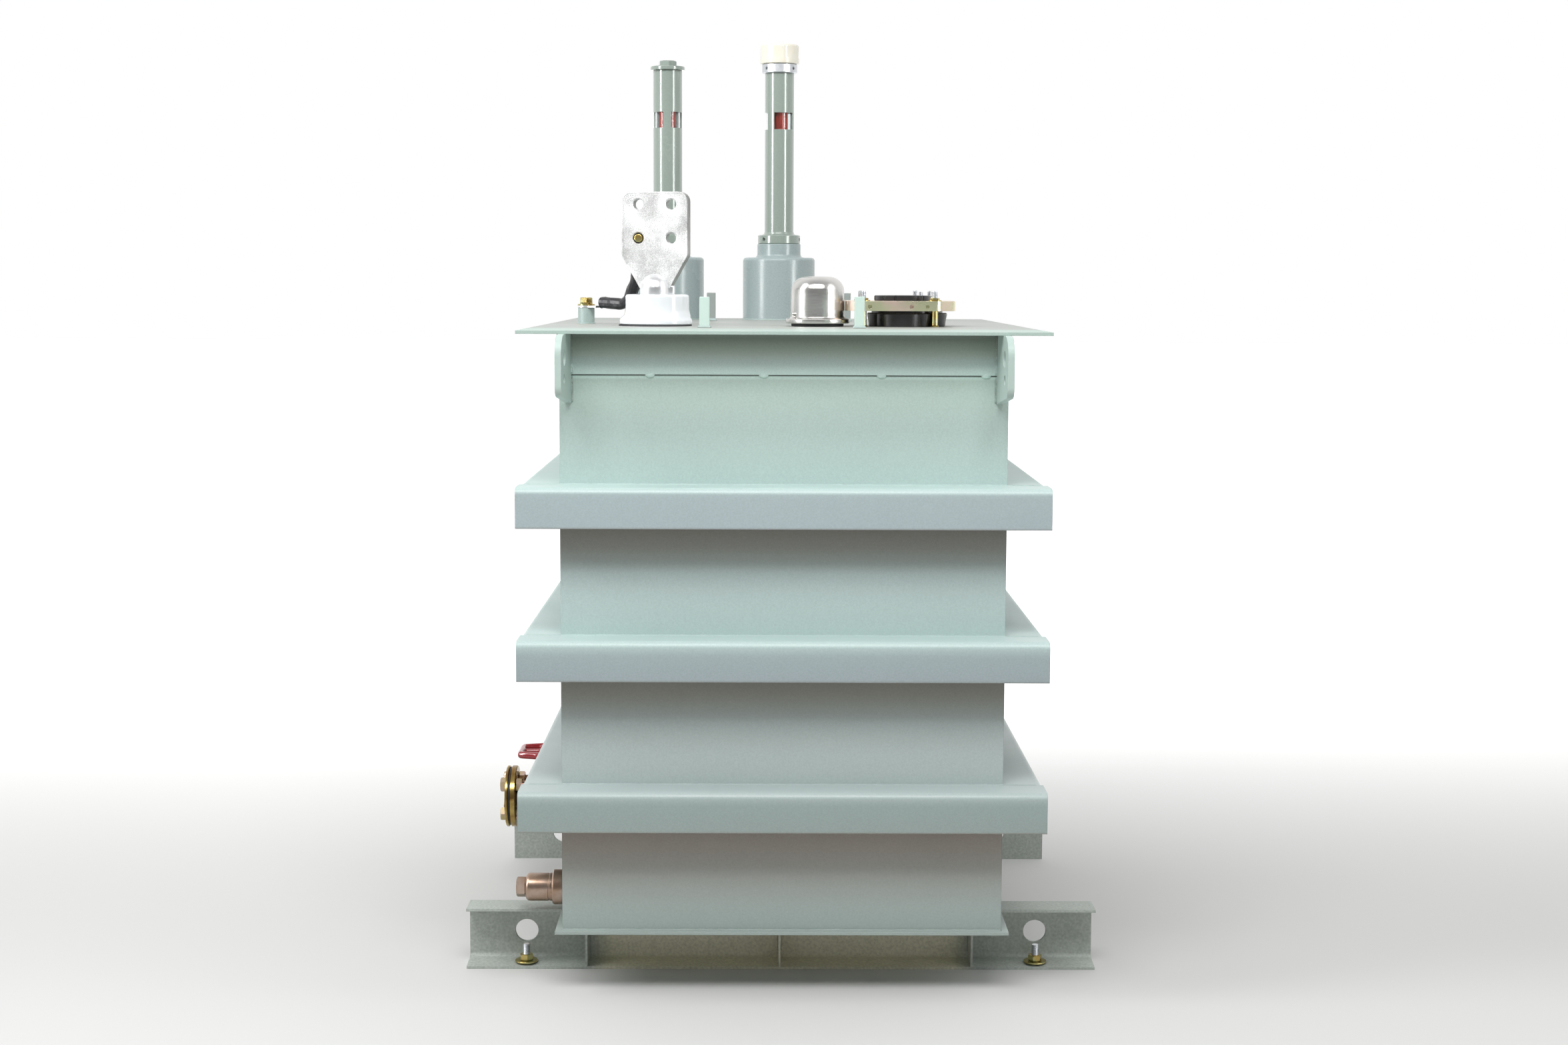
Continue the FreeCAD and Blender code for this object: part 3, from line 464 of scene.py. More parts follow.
for row in frame["record"]["subparts"]:
    material = SLOT_MATERIALS[row["material_slot"]]
    node = nodes[row["node"]]
    node.data.materials.clear()
    node.data.materials.append(material)
nodes["cover_plate"].data.materials[0] = cover_paint
for name in [n for n in nodes if n.startswith("lifting_lug")]:
    nodes[name].data.materials[0] = lug_paint
for name in ("base_channel_front", "base_channel_rear", "channel_ribs"):
    nodes[name].data.materials[0] = channel_paint
print("painted", len(nodes), "nodes")

# %% [markdown]
# ## Tools for shaping
#
# Most fittings are round, hexagonal or plates with bevelled edges. A round one starts as a circle whose
# face is extruded and resized again and again, ring by ring, which is how a lathe profile is built by
# hand. Everything is made at the origin standing along Z, then turned and moved, and the move is applied
# so that the finished object sits at the origin with its place in its mesh.

# %% Start a primitive, open and close edit mode
def fresh(kind, name, **options):
    """Adds a primitive with nothing else selected, and names it."""
    if bpy.context.object and bpy.context.object.mode != "OBJECT":
        bpy.ops.object.mode_set(mode="OBJECT")
    bpy.ops.object.select_all(action="DESELECT")
    getattr(bpy.ops.mesh, f"primitive_{kind}_add")(**options)
    piece = bpy.context.object
    piece.name = piece.data.name = name
    return piece


def only(piece):
    bpy.ops.object.select_all(action="DESELECT")
    piece.select_set(True)
    bpy.context.view_layer.objects.active = piece


def open_edit(piece, mode):
    only(piece)
    bpy.ops.object.mode_set(mode="EDIT")
    bpy.ops.mesh.select_mode(type=mode)
    bpy.ops.mesh.select_all(action="DESELECT")


def close_edit():
    bpy.ops.object.mode_set(mode="OBJECT")


def pick(piece, kind, test):
    """In edit mode, selects the verts, edges or faces that pass a test, and says how many."""
    mesh = bmesh.from_edit_mesh(piece.data)
    chosen = [part for part in getattr(mesh, kind) if test(part)]
    for part in chosen:
        part.select_set(True)
    bmesh.update_edit_mesh(piece.data)
    return len(chosen)


def place(piece, at=(0, 0, 0), turn=(0, 0, 0)):
    """Turns and moves a piece, and applies that, so its place is in its mesh."""
    only(piece)
    piece.rotation_euler = [math.radians(a) for a in turn]
    piece.location = Vector(piece.location) + Vector(at)
    bpy.ops.object.transform_apply(location=True, rotation=True, scale=True)
    return piece

# %% Modifiers and finishing
def modify(piece, kind, **settings):
    """Adds a modifier, sets it and applies it."""
    only(piece)
    modifier = piece.modifiers.new(kind.lower(), kind)
    for key, value in settings.items():
        setattr(modifier, key, value)
    bpy.ops.object.modifier_apply(modifier=modifier.name)
    return piece


def add_bevel(piece, width, segments=2, angle=35):
    """Rounds every edge sharper than an angle."""
    return modify(piece, "BEVEL", width=width, segments=segments, angle_limit=math.radians(angle),
                  limit_method="ANGLE")


def cut(piece, tool, operation="DIFFERENCE"):
    """Cuts or intersects a piece with another, which is used up."""
    modify(piece, "BOOLEAN", object=tool, operation=operation, solver="EXACT")
    bpy.data.objects.remove(tool)
    return piece


def join(name, *pieces):
    """Joins pieces into the first one."""
    bpy.ops.object.select_all(action="DESELECT")
    for piece in pieces:
        piece.select_set(True)
    bpy.context.view_layer.objects.active = pieces[0]
    bpy.ops.object.join()
    pieces[0].name = pieces[0].data.name = name
    return pieces[0]


def copy_of(piece, at=(0, 0, 0), turn=(0, 0, 0)):
    """A copy with its own mesh, turned about the origin and moved."""
    twin = piece.copy()
    twin.data = piece.data.copy()
    bpy.context.scene.collection.objects.link(twin)
    return place(twin, at, turn)


def copies_of(piece, spots):
    """A copy at each (place, turn), in place of the piece itself."""
    copies = [copy_of(piece, at, turn) for at, turn in spots]
    bpy.data.objects.remove(piece)
    return copies


def finish(piece, material, replaced=(), body="root", smooth=32):
    """Gives a piece its material and smooth shading, hangs it on its body, and hides the CAD parts it replaces."""
    only(piece)
    piece.data.materials.clear()
    piece.data.materials.append(material)
    if smooth:
        bpy.ops.object.shade_smooth_by_angle(angle=math.radians(smooth))
        modify(piece, "WEIGHTED_NORMAL", keep_sharp=True)
    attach(piece, body)
    if replaced:
        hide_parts(*replaced)
    print(piece.name, len(piece.data.polygons), "faces")
    return piece

# %% Round, hexagonal and threaded shapes
def turned(name, profile, segments=64, closed=True):
    """A round shape from (radius, height) rings, each extruded from the one before."""
    radius, height = profile[0]
    piece = fresh("circle", name, vertices=segments, radius=radius, location=(0, 0, height),
                  fill_type="NGON" if closed else "NOTHING")
    place(piece)
    open_edit(piece, "FACE" if closed else "EDGE")
    bpy.ops.mesh.select_all(action="SELECT")
    for next_radius, next_height in profile[1:]:
        bpy.ops.mesh.extrude_region_move(TRANSFORM_OT_translate={"value": (0, 0, next_height - height)})
        ratio = next_radius / radius
        if abs(ratio - 1) > 1e-6:
            bpy.ops.transform.resize(value=(ratio, ratio, 1), center_override=(0, 0, next_height))
        radius, height = next_radius, next_height
    bpy.ops.mesh.select_all(action="SELECT")
    bpy.ops.mesh.normals_make_consistent(inside=False)
    close_edit()
    return piece


def arc(centre_r, centre_z, radius, start, end, steps):
    """Rings along a quarter round, as (radius, height) corners."""
    rings = []
    for i in range(steps + 1):
        a = math.radians(start + (end - start) * i / steps)
        rings.append((centre_r + radius * math.cos(a), centre_z + radius * math.sin(a)))
    return rings


def plain_disc(radius, thick, edge):
    """The rings of a flat disc with slightly rounded edges."""
    return [(radius - edge, 0), (radius, edge), (radius, thick - edge), (radius - edge, thick)]


def hexagon(name, flats, height, both_ends=True):
    """A hexagonal nut or head whose corners are chamfered as on a lathe."""
    corner = flats / math.sqrt(3)
    prism = fresh("cylinder", name, vertices=6, radius=corner, depth=height, location=(0, 0, height / 2))
    place(prism, turn=(0, 0, 0))
    drop = (corner - flats * 0.47) * math.tan(math.radians(30))
    low = [(flats * 0.47, 0), (corner + 1e-4, drop)] if both_ends else [(corner + 1e-4, 0)]
    cone = turned("cone", low + [(corner + 1e-4, height - drop), (flats * 0.47, height)], 48)
    return cut(prism, cone, "INTERSECT")


def threaded(name, radius, pitch, low, high, segments=24):
    """A rod with thread crests and roots along its length."""
    rings = [(radius * 0.8, low)]
    z, crest = low + pitch * 0.3, True
    while z < high - pitch * 0.5:
        rings.append((radius if crest else radius - pitch * 0.55, z))
        z, crest = z + pitch / 2, not crest
    return turned(name, rings + [(radius * 0.8, high)], segments)

# %% Where a CAD node stands
def foot_of(node):
    """The middle of a node's underside."""
    low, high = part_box(node)
    return Vector(((low.x + high.x) / 2, (low.y + high.y) / 2, low.z))


COVER_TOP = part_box("cover_plate")[1].z
print("cover top at", round(COVER_TOP, 4))

# %% [markdown]
# ## Relief dome
#
# The dome is a spun aluminium cap with a rolled flange, sitting on a thin black gasket. It is one
# lathe profile: flange, wall, a large shoulder and a nearly flat top. A small stop button sits at the
# foot of its wall. Its polish comes from the fine rings of the finish.

# %% Relief dome
low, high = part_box("relief_dome")
dome_foot = foot_of("relief_dome")
dome_r, dome_top = 0.036, high.z - low.z
profile = [(0.0345, 0), (0.0415, 0), (0.0427, 0.001), (0.0430, 0.003), (0.0427, 0.0052), (0.0415, 0.0063),
           (0.0385, 0.0068), (0.0368, 0.0080), (dome_r, 0.0105), (dome_r, 0.022), (dome_r - 0.0003, 0.032)]
profile += arc(dome_r - 0.0203, dome_top - 0.0205, 0.0200, 8, 84, 10)
profile += [(0.010, dome_top - 0.0002), (0.004, dome_top)]
dome = turned("relief_dome_skin", profile, 96)
button = turned("button", [(0.003, 0), (0.003, 0.0035), (0.0022, 0.0045)], 20)
place(button, turn=(90, 0, 0))
place(button, at=(0, -dome_r + 0.0012, 0.012), turn=(0, 0, 0))
place(button, turn=(0, 0, -62))
dome = join("relief_dome_skin", dome, button)
place(dome, at=dome_foot)
finish(dome, spun_aluminium, ["relief_dome"])
gasket = turned("relief_dome_gasket", [(0.030, 0), (0.034, 0), (0.0350, 0.001), (0.0350, 0.0032), (0.034, 0.004)])
place(gasket, at=foot_of("relief_gasket"))
finish(gasket, rubber, ["relief_gasket"])

# %% [markdown]
# ## Low-voltage bushing
#
# A white glazed porcelain ring is pressed on a thin gasket. It flares into a skirt at its foot. On top
# stands a polished clamp with a domed head, and behind its front face the palm: a thick blasted plate
# with four bolt holes and sloping shoulders.

# %% Porcelain and its gasket
bushing_foot = foot_of("bushing_gasket")
gasket = turned("bushing_gasket_ring", [(0.0440, 0), (0.0484, 0), (0.0487, 0.0004),
                                         (0.0487, 0.0015), (0.0484, 0.0020)])
place(gasket, at=bushing_foot)
finish(gasket, rubber, ["bushing_gasket"])

# The cast ring isn't quite true: its upper part stands a little to the right of its skirt.
LEAN = 0.0017
profile = [(0.0400, 0.0020), (0.0474, 0.0020)] + arc(0.0474, 0.0035, 0.0012, -60, 0, 3)
profile += [(0.0486, 0.0068), (0.0480, 0.0088), (0.0463, 0.0112), (0.0445, 0.0142), (0.0433, 0.0176),
            (0.0426, 0.0215), (0.0424, 0.0280), (0.0424, 0.0375)]
profile += arc(0.0384, 0.0378, 0.0040, 12, 88, 6) + [(0.0300, 0.0424), (0.0220, 0.0412), (0.0200, 0.0412)]
glazed = turned("bushing_porcelain_ring", profile, 96)
open_edit(glazed, "VERT")
pick(glazed, "verts", lambda v: v.co.z > 0.012)
bpy.ops.transform.translate(value=(LEAN, 0, 0))
close_edit()
place(glazed, at=bushing_foot + Vector((0.0010, 0, 0)))
finish(glazed, porcelain, ["bushing_porcelain"], smooth=50)

# %% Clamp
PALM_TURN = -11.0
clamp_profile = [(0.0195, 0.040), (0.0200, 0.0415), (0.0200, 0.0500)] + arc(0, 0.0495, 0.0197, 8, 78, 9)
clamp = turned("terminal_clamp_head", clamp_profile, 64)
ear = fresh("cube", "ear", size=1)
ear.scale = (0.009, 0.010, 0.013)
place(ear)
add_bevel(place(ear, at=(0.0215, 0.002, 0.0475)), 0.0025, 3)
clamp = join("terminal_clamp_head", clamp, ear)
place(clamp, turn=(0, 0, PALM_TURN))
place(clamp, at=(bushing_foot.x, bushing_foot.y, COVER_TOP))
finish(clamp, polished_aluminium, ["terminal_clamp"])

# %% Palm
# The plate starts as a flat grid face in the XZ plane, its outline is set by moving the corners, and
# it is extruded backwards by its thickness.
PALM_HALF, PALM_NECK, PALM_THICK, PALM_AHEAD = 0.045, 0.0205, 0.018, 0.004
PALM_FOOT, PALM_SHOULDER, PALM_HIGH = 0.050, 0.093, 0.177
HOLE_PITCH, HOLE_TOP, HOLE_R = 0.04445, 0.1604, 0.00715

palm = fresh("plane", "terminal_palm_plate", size=2)
place(palm, turn=(90, 0, 0))
palm_height = (PALM_HIGH - PALM_FOOT) / 2
open_edit(palm, "FACE")
bpy.ops.mesh.select_all(action="SELECT")
bpy.ops.transform.resize(value=(PALM_HALF, 1, palm_height), center_override=(0, 0, 0))
bpy.ops.transform.translate(value=(0, -PALM_AHEAD, PALM_FOOT + palm_height))
bpy.ops.mesh.select_all(action="SELECT")
bpy.ops.mesh.bisect(plane_co=(0, 0, PALM_SHOULDER), plane_no=(0, 0, 1))
bpy.ops.mesh.select_mode(type="VERT")
bpy.ops.mesh.select_all(action="DESELECT")
pick(palm, "verts", lambda v: v.co.z < PALM_FOOT + 1e-4)
bpy.ops.transform.resize(value=(PALM_NECK / PALM_HALF, 1, 1), center_override=(0, 0, PALM_FOOT))
bpy.ops.mesh.select_all(action="DESELECT")
pick(palm, "verts", lambda v: v.co.z > PALM_HIGH - 1e-4)
bpy.ops.mesh.bevel(offset=0.013, segments=8, affect="VERTICES")
bpy.ops.mesh.select_all(action="DESELECT")
pick(palm, "verts", lambda v: abs(v.co.z - PALM_SHOULDER) < 1e-4)
bpy.ops.mesh.bevel(offset=0.002, segments=2, affect="VERTICES")
bpy.ops.mesh.select_all(action="SELECT")
bpy.ops.mesh.dissolve_limited(angle_limit=math.radians(1))
bpy.ops.mesh.select_all(action="SELECT")
bpy.ops.mesh.extrude_region_move(TRANSFORM_OT_translate={"value": (0, PALM_THICK, 0)})
bpy.ops.mesh.select_all(action="SELECT")
bpy.ops.mesh.normals_make_consistent(inside=False)
bpy.ops.mesh.select_all(action="DESELECT")
pick(palm, "faces", lambda f: abs(f.normal.y) > 0.9)
bpy.ops.mesh.inset(thickness=0.0019, use_individual=True)
bpy.ops.mesh.inset(thickness=0.0005, depth=-0.0004, use_individual=True)
close_edit()
for x in (-HOLE_PITCH / 2, HOLE_PITCH / 2):
    for z in (HOLE_TOP, HOLE_TOP - HOLE_PITCH):
        drill = turned("drill", [(0.0086, -0.03), (0.0086, -PALM_THICK + PALM_AHEAD + 0.0003),
                                 (HOLE_R, -PALM_THICK + PALM_AHEAD + 0.0016), (HOLE_R, PALM_AHEAD - 0.0016),
                                 (0.0086, PALM_AHEAD - 0.0003), (0.0086, 0.03)], 48)
        cut(palm, place(place(drill, turn=(90, 0, 0)), at=(x, 0, z)))
add_bevel(palm, 0.0008, 2, 50)
place(palm, turn=(0, 0, PALM_TURN))
place(palm, at=(bushing_foot.x, bushing_foot.y, COVER_TOP))
finish(palm, cast_aluminium, ["terminal_palm"])

# %% [markdown]
# ## Bolts, nuts and washers
#
# The zinc-plated fasteners share a few shapes: a chamfered hexagon, a flat washer and a split spring
# washer. Each is made once at the origin, then copied with its own mesh to every place.

# %% Washers
def washer(name, outer, inner, thick, segments=40):
    """A flat washer: a disc with slightly rounded edges and a bored hole."""
    edge = min(0.0004, thick / 4)
    disc = turned(name, plain_disc(outer, thick, edge), segments)
    return cut(disc, turned("bore", [(inner, -0.01), (inner, thick + 0.01)], 32))


def spring_washer(name, outer, inner, thick):
    """A washer with a slanting split."""
    ring = washer(name, outer, inner, thick)
    slit = fresh("cube", "slit", size=1)
    slit.scale = (0.0012, outer, thick * 4)
    place(slit, turn=(0, 28, 0))
    return cut(ring, place(slit, at=(0, (outer + inner) / 2 + 0.001, thick / 2)))

# %% Earth bolt on its boss
boss_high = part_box("earth_boss")[1]
boss = foot_of("earth_boss")
post = turned("earth_boss_post", [(0.0113, 0), (0.0115, 0.0010), (0.0115, 0.0212), (0.0108, 0.022)], 48)
place(post, at=boss)
finish(post, tank_paint, ["earth_boss"])

bolt_foot = Vector((boss.x, boss.y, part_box("earth_bolt")[0].z))
flat = washer("flat", 0.0120, 0.0053, 0.0020)
spring = place(spring_washer("spring", 0.0088, 0.0052, 0.0022), at=(0, 0, 0.0021), turn=(0, 0, 150))
head = place(hexagon("head", 0.0165, 0.0068, both_ends=False), at=(0, 0, 0.0043), turn=(0, 0, 8))
dimple = turned("dimple", [(0.0052, 0.0104), (0.0058, 0.0120)], 32)
head = cut(head, dimple)
bolt = join("earth_bolt_set", flat, spring, head)
place(bolt, at=bolt_foot)
finish(bolt, yellow_zinc, ["earth_bolt"])

# %% Palm bolt
# It passes through the lower left hole from behind, with its end just inside the front face.
def to_palm(piece):
    """Turns a piece made in front of the palm and sets it on the bushing's axis."""
    place(piece, turn=(0, 0, PALM_TURN))
    return place(piece, at=(bushing_foot.x, bushing_foot.y, COVER_TOP))


BOLT_X, BOLT_Z = -HOLE_PITCH / 2, HOLE_TOP - HOLE_PITCH
PALM_BACK = PALM_THICK - PALM_AHEAD
shank = threaded("shank", 0.0051, 0.0017, -0.0185, 0.0030)
rim = place(washer("rim", 0.0100, 0.0053, 0.0020), at=(0, 0, 0.0030))
head = place(hexagon("head", 0.0165, 0.0064, both_ends=False), at=(0, 0, 0.0050))
bolt = join("palm_bolt_set", shank, rim, head)
place(bolt, turn=(-90, 0, 0))
place(bolt, at=(BOLT_X, PALM_BACK, BOLT_Z))
finish(to_palm(bolt), yellow_zinc, ["palm_bolt"])

# %% [markdown]
# ## Bonding strap
#
# A flat braid in a black heat-shrink sleeve joins the palm to the earth boss. Heat-shrink that is bent
# after shrinking folds into flats and creases, so the tube, which follows a smooth curve through the
# strap's own corners, is pushed in and out by two cloud patterns: a large one for the folds and a small
# one for the creases.

# %% Strap
STRAP_RADIUS = 0.0080
STRAP_ROUTE = [(-0.2505, -0.0300, 0.0290), (-0.2340, -0.0410, 0.0285), (-0.2135, -0.0545, 0.0270),
               (-0.2045, -0.0690, 0.0480), (-0.1975, -0.0900, 0.0700), (-0.1890, -0.1275, 0.0900),
               (-0.1876, -0.1290, 0.1050)]

line = bpy.data.curves.new("strap_line", "CURVE")
line.dimensions = "3D"
line.bevel_depth, line.bevel_resolution, line.resolution_u = STRAP_RADIUS, 4, 14
line.use_fill_caps = True
spline = line.splines.new("NURBS")
spline.points.add(len(STRAP_ROUTE) - 1)
for point, (x, y, z) in zip(spline.points, STRAP_ROUTE):
    point.co = (x, y, z + COVER_TOP, 1)
spline.order_u, spline.use_endpoint_u = 3, True
strap = bpy.data.objects.new("bonding_strap_sleeve", line)
bpy.context.scene.collection.objects.link(strap)
only(strap)
bpy.ops.object.convert(target="MESH")
for size, strength in ((0.024, 0.0042), (0.0080, 0.0014)):
    pattern = bpy.data.textures.new("folds", "CLOUDS")
    pattern.noise_scale, pattern.noise_depth = size, 1
    modify(strap, "DISPLACE", texture=pattern, strength=strength, mid_level=0.5)
finish(strap, sleeve, ["bonding_strap"], smooth=20)

# %% Cable lugs at both ends of the strap
def lug_plate(name, length, width, thick, hole):
    """A rounded tongue with a bolt hole: an eye at the origin, and a bar that runs along +X."""
    eye = turned(name, plain_disc(width / 2, thick, 0.0003), 48)
    bar = fresh("cube", "bar", size=1)
    bar.scale = (length, width * 0.62, thick)
    place(bar)
    place(bar, at=(length / 2, 0, thick / 2))
    eye = cut(eye, add_bevel(bar, 0.0003, 1), "UNION")
    return cut(eye, turned("bore", [(hole, -0.01), (hole, 0.02)], 32))


lug_z = boss_high.z
run = Vector(STRAP_ROUTE[0]) - Vector((boss.x, boss.y, 0))
earth_end = lug_plate("earth_lug", 0.0250, 0.0245, 0.003, 0.0053)
place(earth_end, turn=(0, 0, math.degrees(math.atan2(run.y, run.x))))
place(earth_end, at=(boss.x, boss.y, lug_z))
palm_end = lug_plate("palm_lug", 0.0215, 0.0200, 0.003, 0.0053)
place(palm_end, turn=(0, 90, 0))
place(palm_end, turn=(0, 0, 90))
place(palm_end, at=(BOLT_X, PALM_BACK, BOLT_Z))
finish(join("strap_lugs_pair", earth_end, to_palm(palm_end)), tinned, ["strap_lugs"])

# %% [markdown]
# ## Level gauges
#
# Two tall sheaths stand on round pedestals at the back of the cover. Each sheath is a painted tube with
# three windows that show a glass tube and a red marker. The skin is modelled as one turned tube whose
# faces are deleted where the windows are, and the wall's thickness is then added inwards, so that the
# windows have real edges.

# %% Pedestals
ped_low, ped_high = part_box("gauge_pedestals")
GAUGE_Y = (ped_low.y + ped_high.y) / 2
PEDESTAL_R = (ped_high.y - ped_low.y) / 2
GAUGE_XS = (ped_low.x + PEDESTAL_R, ped_high.x - PEDESTAL_R)
NECK_TOP = ped_high.z - COVER_TOP

profile = [(PEDESTAL_R, 0), (PEDESTAL_R, 0.0895)] + arc(PEDESTAL_R - 0.0055, 0.0905, 0.0055, 8, 86, 7)
profile += [(0.0400, 0.0962), (0.0362, 0.0966), (0.0345, 0.0985), (0.0337, 0.1010), (0.0337, NECK_TOP - 0.0007),
            (0.0330, NECK_TOP)]
pair = copies_of(turned("gauge_pedestal", profile, 128), [((x, GAUGE_Y, COVER_TOP), (0, 0, 0)) for x in GAUGE_XS])
finish(join("gauge_pedestal_pair", *pair), pedestal_paint, ["gauge_pedestals"], smooth=40)

# %% Sheaths with their windows
SHEATH_R, SHEATH_WALL = 0.0225, 0.0027
SHEATH_TOPS = (0.3825, 0.379)
WINDOWS = ((0.2945, 0.3185), (0.2927, 0.3181))
WINDOW_TURNS = (-90.0, -128.0)
BAR_ANGLE = 32.0


def window_face(face, low, high):
    """True for a face of the skin that lies in one of the three windows."""
    middle = face.calc_center_median()
    angle = math.degrees(math.atan2(middle.y, middle.x)) % 120
    return low < middle.z < high and BAR_ANGLE / 2 < angle < 120 - BAR_ANGLE / 2


sheaths = []
for x, top, window, first_bar in zip(GAUGE_XS, SHEATH_TOPS, WINDOWS, WINDOW_TURNS):
    low, high = window
    rings = [(SHEATH_R, NECK_TOP + 0.012), (SHEATH_R, low), (SHEATH_R, high), (SHEATH_R, top)]
    skin = turned("sheath", rings, 180, closed=False)
    open_edit(skin, "FACE")
    pick(skin, "faces", lambda f: window_face(f, low, high))
    bpy.ops.mesh.delete(type="FACE")
    close_edit()
    modify(skin, "SOLIDIFY", thickness=SHEATH_WALL, offset=-1)
    add_bevel(skin, 0.0005, 2, 40)
    collar = turned("collar", [(0.0318, 0), (0.0330, 0.0010), (0.0330, 0.0125), (0.0318, 0.0138), (0.0262, 0.0140),
                               (0.0240, 0.0152), (0.0228, 0.0182), (0.0223, 0.0182)], 96)
    for angle in (-128, -8, 112):
        hole = place(turned("hole", [(0.0028, -0.006), (0.0028, 0.006)], 20), turn=(0, 90, 0))
        place(hole, at=(0.033, 0, 0.0068))
        cut(collar, place(hole, turn=(0, 0, angle)))
    place(collar, at=(0, 0, NECK_TOP))
    sheath = join("sheath", skin, collar)
    place(sheath, turn=(0, 0, first_bar))
    sheaths.append(place(sheath, at=(x, GAUGE_Y, COVER_TOP)))
finish(join("gauge_sheath_pair", *sheaths), fitting_paint, ["gauge_sheaths"], smooth=35)

# %% Left gauge: flanged plug with a hexagon
plug_foot = Vector((GAUGE_XS[0], GAUGE_Y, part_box("gauge_plug")[0].z))
plug = turned("plug", [(0.0225, 0), (0.0262, 0.0003), (0.0265, 0.0010), (0.0265, 0.0052), (0.0258, 0.0060),
                       (0.0130, 0.0062)], 72)
head = place(hexagon("head", 0.0255, 0.0090, both_ends=False), at=(0, 0, 0.0060), turn=(0, 0, 10))
plug = join("gauge_plug_head", plug, head)
place(plug, at=plug_foot)
finish(plug, fitting_paint, ["gauge_plug"])

# %% Right gauge: lock ring with tommy holes, and a moulded cap
ring_foot = Vector((GAUGE_XS[1], GAUGE_Y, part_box("gauge_lock_ring")[0].z))
ring = turned("lock_ring", [(0.0258, 0), (0.0270, 0.0010), (0.0270, 0.0128), (0.0262, 0.0138)], 96)
for angle in (-139, -38, 41, 142):
    hole = place(turned("hole", [(0.0023, -0.005), (0.0023, 0.005)], 20), turn=(0, 90, 0))
    place(hole, at=(0.027, 0, 0.0068))
    cut(ring, place(hole, turn=(0, 0, angle)))
place(ring, at=ring_foot)
finish(ring, galvanised, ["gauge_lock_ring"])

cap_foot = Vector((GAUGE_XS[1], GAUGE_Y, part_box("gauge_end_cap")[0].z))
profile = [(0.0288, 0), (0.0297, 0.0006), (0.0300, 0.0020), (0.0300, 0.0080), (0.0296, 0.0090), (0.0296, 0.0235)]
profile += arc(0.0264, 0.0260, 0.0034, -5, 80, 5) + [(0.0240, 0.0295), (0.0180, 0.0288)]
cap = turned("gauge_cap", profile, 48)
open_edit(cap, "VERT")
pick(cap, "verts", lambda v: 0.0085 < v.co.z < 0.028
     and round(math.degrees(math.atan2(v.co.y, v.co.x)) / 7.5) % 4 == 0)
bpy.ops.transform.resize(value=(0.975, 0.975, 1), center_override=(0, 0, 0))
close_edit()
place(cap, at=cap_foot)
finish(cap, cream_plastic, ["gauge_end_cap"], smooth=38)

# %% [markdown]
# ## High-voltage bushing well
#
# A black moulded well sits low on the cover and is held down by a square, corner-cut plate in yellow zinc, on four
# studs. The plate's edge is bored with a few blind holes. Two more thin studs stand beside it.

# %% Well body and cap
WELL_X, WELL_Y = foot_of("well_cap")[:2]
BODY_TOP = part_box("well_body")[1].z - COVER_TOP
body = turned("well_body_moulding", [(0.0505, 0), (0.0515, 0.0010), (0.0520, 0.0060), (0.0537, 0.0145),
                                     (0.0540, 0.0168), (0.0530, 0.0181), (0.0480, 0.0182), (0.0480, BODY_TOP)], 96)
place(body, at=(WELL_X + 0.006, WELL_Y, COVER_TOP))
lobe = turned("lobe", [(0.0336, 0), (0.0343, 0.0008), (0.0349, 0.0100), (0.0354, 0.0165), (0.0345, 0.0181)], 80)
body = join("well_body_moulding", body, place(lobe, at=(WELL_X - 0.002, WELL_Y - 0.024, COVER_TOP)))
finish(body, black_epoxy, ["well_body"])
cap = turned("well_cap_moulding", [(0.0325, 0.0213), (0.0325, 0.0342), (0.0378, 0.0343), (0.0385, 0.0350),
                                   (0.0385, 0.0402), (0.0378, 0.0412), (0.0366, 0.0415), (0.0288, 0.0415),
                                   (0.0280, 0.0412), (0.0266, 0.0390), (0.0255, 0.0386), (0.0120, 0.0386)], 96)
for angle in range(0, 360, 60):
    groove = place(turned("groove", [(0.0016, 0), (0.0016, 0.02)], 16), at=(0.0385, 0, 0.0310))
    cut(cap, place(groove, turn=(0, 0, angle + 12)))
place(cap, at=(WELL_X, WELL_Y, COVER_TOP))
finish(cap, black_epoxy, ["well_cap"])

# %% Clamping plate
plate_low, plate_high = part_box("well_clamp_plate")
PLATE_HALF = (plate_high.x - plate_low.x) / 2
PLATE_X, PLATE_Y = (plate_low.x + plate_high.x) / 2, (plate_low.y + plate_high.y) / 2
PLATE_THICK = plate_high.z - plate_low.z
STUD_PITCH, STUD_SHIFT = 0.0475, -0.002

plate = fresh("plane", "well_clamp_plate_steel", size=PLATE_HALF * 2)
open_edit(plate, "VERT")
bpy.ops.mesh.select_all(action="SELECT")
bpy.ops.mesh.bevel(offset=0.024, segments=1, affect="VERTICES")
bpy.ops.mesh.bevel(offset=0.005, segments=3, affect="VERTICES")
bpy.ops.mesh.select_mode(type="FACE")
bpy.ops.mesh.select_all(action="SELECT")
bpy.ops.mesh.extrude_region_move(TRANSFORM_OT_translate={"value": (0, 0, PLATE_THICK)})
bpy.ops.mesh.select_all(action="SELECT")
bpy.ops.mesh.normals_make_consistent(inside=False)
close_edit()
bore_x = WELL_X - PLATE_X
cut(plate, place(turned("bore", [(0.033, -0.01), (0.033, 0.03)], 96), at=(bore_x, 0, 0)))
for dx in (-STUD_PITCH, STUD_PITCH):
    for dy in (-STUD_PITCH, STUD_PITCH):
        cut(plate, place(turned("bore", [(0.0041, -0.01), (0.0041, 0.03)], 32), at=(dx + STUD_SHIFT, dy, 0)))
for x, radius in ((-0.042, 0.0026), (0.013, 0.0026), (0.034, 0.0025)):
    hole = place(turned("hole", [(radius, -0.008), (radius, 0.008)], 24), turn=(90, 0, 0))
    cut(plate, place(hole, at=(x, -PLATE_HALF, PLATE_THICK * 0.45)))
